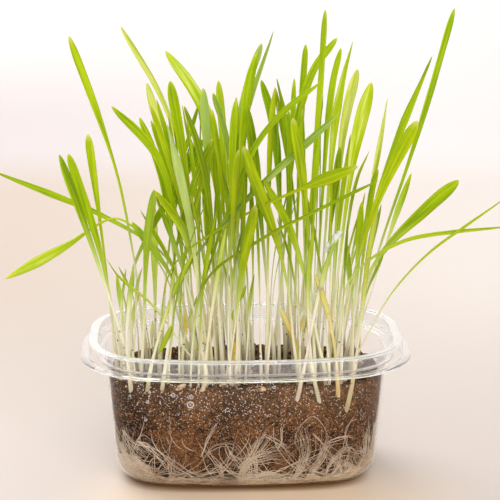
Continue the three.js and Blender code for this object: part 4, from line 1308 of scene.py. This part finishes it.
# Stems that grew against the front wall show through it down to where they enter the soil. Each
# row is one stem's points, across and up, and how dry it is.
WALL_STEMS = [
    ([(-59.2, 54), (-60.2, 65), (-61.2, 75), (-59.8, 97), (-57, 118)], 0),
    ([(-51.1, 56), (-48.7, 70), (-42.7, 91), (-35, 112), (-27, 128)], 0),
    ([(-43.6, 57), (-41.7, 70), (-39, 91), (-37, 118)], 0),
    ([(-24.6, 55.5), (-21.9, 60), (-21.6, 70), (-19, 92), (-14, 124), (-11, 141)], 0),
    ([(24.6, 51), (28, 68), (32.6, 92), (38, 117), (43, 133)], 0),
    ([(36.3, 49), (32.8, 65), (30.6, 87), (30, 115), (32, 138)], 0),
    ([(45.8, 52), (44.4, 72), (41.3, 91), (37, 106), (33, 117)], 0.55),
    ([(50.1, 43), (53.3, 60), (55, 73), (58, 95), (61, 124), (66, 148)], 0.2),
]
WALL_STEM_HALF_WIDTH = 1.15 * MM
for points, dry in WALL_STEMS:
    climb = np.array([height for _, height in points])
    # Its middle keeps close to the wall up to the rim, and bends away from it above.
    behind = np.interp(climb, (climb[0], SOIL_HEIGHT, 68, 100), (0.78, 0.8, 1.0, 4.5))
    middle = []
    for (x, height), back in zip(points, behind):
        middle.append((x, front_wall(x, min(height, LEDGE_HEIGHT), back), height))
    middle = np.array(middle)
    middle = np.vstack([middle[0] + (middle[0] - middle[1]) * 0.12 + (0, 1.1, 0), middle])
    climb = middle[:, 2]
    opened = np.clip((climb - 75) / 40, 0, 1)
    width = WALL_STEM_HALF_WIDTH / FOOT_WIDTH * (1 + 0.3 * opened)
    width[0] *= 0.75
    guide = (
        middle * MM,
        np.tile((1.0, 0.15, 0), (len(climb), 1)),
        width,
        0.6 * WALL_STEM_HALF_WIDTH * (1 - 0.6 * opened),
        width * 0.3 * opened,
    )
    tone = (tone_draws.random(), tone_draws.random(), tone_draws.random(), dry)
    draw_shoot(young, layers, guide, tone, 0.6, YOUNG_FINENESS, YOUNG_TIP)

# Dry sheaths, a torn ochre leaf and short green side shoots stand between the stems. Each row is
# one: its foot, its tip, its half width, and how dry it is.
SIDE_SHOOTS = [
    ((27, -31, 63), (16.4, -33, 97), 1.5, 1.0),
    ((-33, -35, 86), (-32, -36, 97.5), 0.75, 1.0),
    ((-30.5, -35, 84), (-31.4, -36, 93.5), 0.7, 0.8),
    ((26.5, -35, 84), (28.4, -36, 95), 0.7, 1.0),
    ((28.5, -34, 83), (30.4, -36, 95.5), 0.7, 0.7),
    ((-6.2, -35, 66), (-6.5, -36, 81), 0.9, 0.9),
    ((44, -30, 62), (41.5, -33, 84), 0.8, 0.9),
    ((-45.6, -40, 75), (-38.2, -41, 91), 1.6, 0.0),
    ((-4.4, -30, 99.5), (-0.8, -31, 109), 1.0, 0.0),
    ((-7.6, -31, 90), (-7.0, -32, 96.5), 0.7, 0.0),
    ((-26.5, -31, 75), (-22.5, -32, 78), 1.2, 0.0),
]
SIDE_GREEN = -2.0
for foot, tip, half, dry in SIDE_SHOOTS:
    foot, tip = np.array(foot), np.array(tip)
    share = np.linspace(0, 1, 6)
    bow = np.sin(share * math.pi)[:, None] * np.array([tone_draws.uniform(-0.08, 0.08), 0, 0])
    middle = foot + (tip - foot) * share[:, None] + bow * np.linalg.norm(tip - foot)
    # Its foot is nearly a point. With no width at all, a section would have no flatness either.
    width = half * MM * np.interp(share, (0, 0.25, 0.7, 1), (0, 0.8, 1, 0.8))
    guide = (
        middle * MM,
        np.tile((1.0, tone_draws.uniform(-0.5, 0.5), 0), (len(share), 1)),
        width,
        np.minimum(0.3 * MM, width),
        width * 0.35,
    )
    tone = (0.5, tone_draws.uniform(0.4, 0.8), SIDE_GREEN, dry)
    draw_shoot(young, layers, guide, tone, 0.8, YOUNG_FINENESS, 5 * MM, neck=1.0)
bmesh.ops.remove_doubles(young, verts=young.verts, dist=2e-6)
bmesh.ops.recalc_face_normals(young, faces=young.faces)
young_piece = link_mesh("grass_young", young, [wheat_leaf])
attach(young_piece, "root")

# ---------------------------------------------------------------- the grains and their husks
# The spent wheat grains lie on the soil at the plants' feet, some against the front wall, with
# the crease of a wheat grain along them. A few papery husks were carried up by the blades.
GRAIN_HALF_LENGTH = 3.1 * MM
GRAIN_HALF_WIDTH = 1.5 * MM
GRAIN_COUNT = 46
grain_draws = random.Random(23)
grains = bmesh.new()
spots = [((-34, front_wall(-34, 58, 1.7), 58.6), 0.2), ((6.3, front_wall(6.3, 58, 1.7), 57.9), -0.3)]
for _ in range(GRAIN_COUNT):
    middle = grain_draws.choice(guides)[0][0] / MM
    angle = grain_draws.uniform(0, math.tau)
    x, y = middle[0] + 3.2 * math.cos(angle), middle[1] + 3.2 * math.sin(angle)
    spots.append(((x, y, soil_top(x, y) + 0.9), grain_draws.uniform(0, math.tau)))
for place, turn in spots:
    made = bmesh.ops.create_uvsphere(grains, u_segments=12, v_segments=8, radius=1)["verts"]
    tilt = Matrix.Rotation(grain_draws.uniform(-0.5, 0.5), 3, "Y")
    roll = Matrix.Rotation(grain_draws.uniform(0, math.tau), 3, "X")
    spin = Matrix.Rotation(turn, 3, "Z") @ (tilt @ roll)
    for vertex in made:
        length, across, up = vertex.co.z, vertex.co.x, vertex.co.y
        crease = 0.45 * math.exp(-((across / 0.3) ** 2)) * (up < 0) * (1 - length**2)
        taper = 1 - 0.18 * length
        body = Vector((
            GRAIN_HALF_LENGTH * length,
            GRAIN_HALF_WIDTH * across * taper,
            GRAIN_HALF_WIDTH * 0.9 * (up + crease),
        ))
        vertex.co = spin @ body + Vector(place) * MM


def grain_material():
    """A soaked wheat grain: buff skin, unevenly brown and faintly pitted."""
    material, tree, shader = new_material("wheat_grain")
    place, _ = object_place(tree)
    cloud = cloudy(tree, place, 500, 4)
    skin = blend_colours(tree, ease(tree, cloud, 0.35, 0.65), (0.27, 0.155, 0.075), (0.55, 0.40, 0.24))
    join(tree, Base_Color=skin, Normal=bumped(tree, cloud, 0.4, 0.2 * MM))
    set_plain(shader, Roughness=0.5)
    let_light_in(shader, 0.2, (0.002, 0.0014, 0.0008))
    return material


grain_piece = link_mesh("wheat_grains", grains, [grain_material()])
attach(grain_piece, "root")

# The papery husks: thin crumpled strips, white where they are dry. Each row is one: its foot, its
# tip and its half width.
HUSKS = [
    ((38.2, -34, 126), (47, -35, 137), 2.0),
    ((25.5, -33, 89), (35.5, -36, 105), 2.0),
    ((-30, -25, 148), (-26, -26, 157), 1.5),
]
husks = bmesh.new()
for foot, tip, half in HUSKS:
    foot, tip = Vector(foot), Vector(tip)
    along = (tip - foot).normalized()
    aside = along.cross(Vector((0, -1, 0))).normalized()
    made = bmesh.ops.create_grid(husks, x_segments=30, y_segments=6, size=1)["verts"]
    for vertex in made:
        share, across = (vertex.co.x + 1) / 2, vertex.co.y
        ragged = 0.85 + 0.4 * noise.noise(Vector((share * 6, round(across), foot.x)))
        width = half * ragged * math.sqrt(max(1 - (2 * share - 1) ** 4, 0.02))
        crumple = 0.55 * noise.noise(Vector((share * 9, across * 1.4, foot.z)))
        centre = foot.lerp(tip, share) + Vector((0, 1.2 * half * across**2 + crumple, crumple))
        vertex.co = (centre + aside * width * across) * MM
bmesh.ops.recalc_face_normals(husks, faces=husks.faces)
bmesh.ops.solidify(husks, geom=husks.faces[:], thickness=0.12 * MM)


def husk_material():
    """Dry husk: a thin crumpled skin, white with greenish patches."""
    material, tree, shader = new_material("papery_husk")
    place, _ = object_place(tree)
    cloud = cloudy(tree, place, 420, 5)
    skin = blend_colours(tree, ease(tree, cloud, 0.4, 0.6), (0.72, 0.80, 0.62), (0.94, 0.95, 0.90))
    join(tree, Base_Color=skin, Normal=bumped(tree, cloud, 0.6, 0.3 * MM))
    set_plain(shader, Roughness=0.4)
    let_light_in(shader, 0.5, (0.001, 0.001, 0.001))
    return material


husk_piece = link_mesh("papery_husks", husks, [husk_material()])
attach(husk_piece, "root")
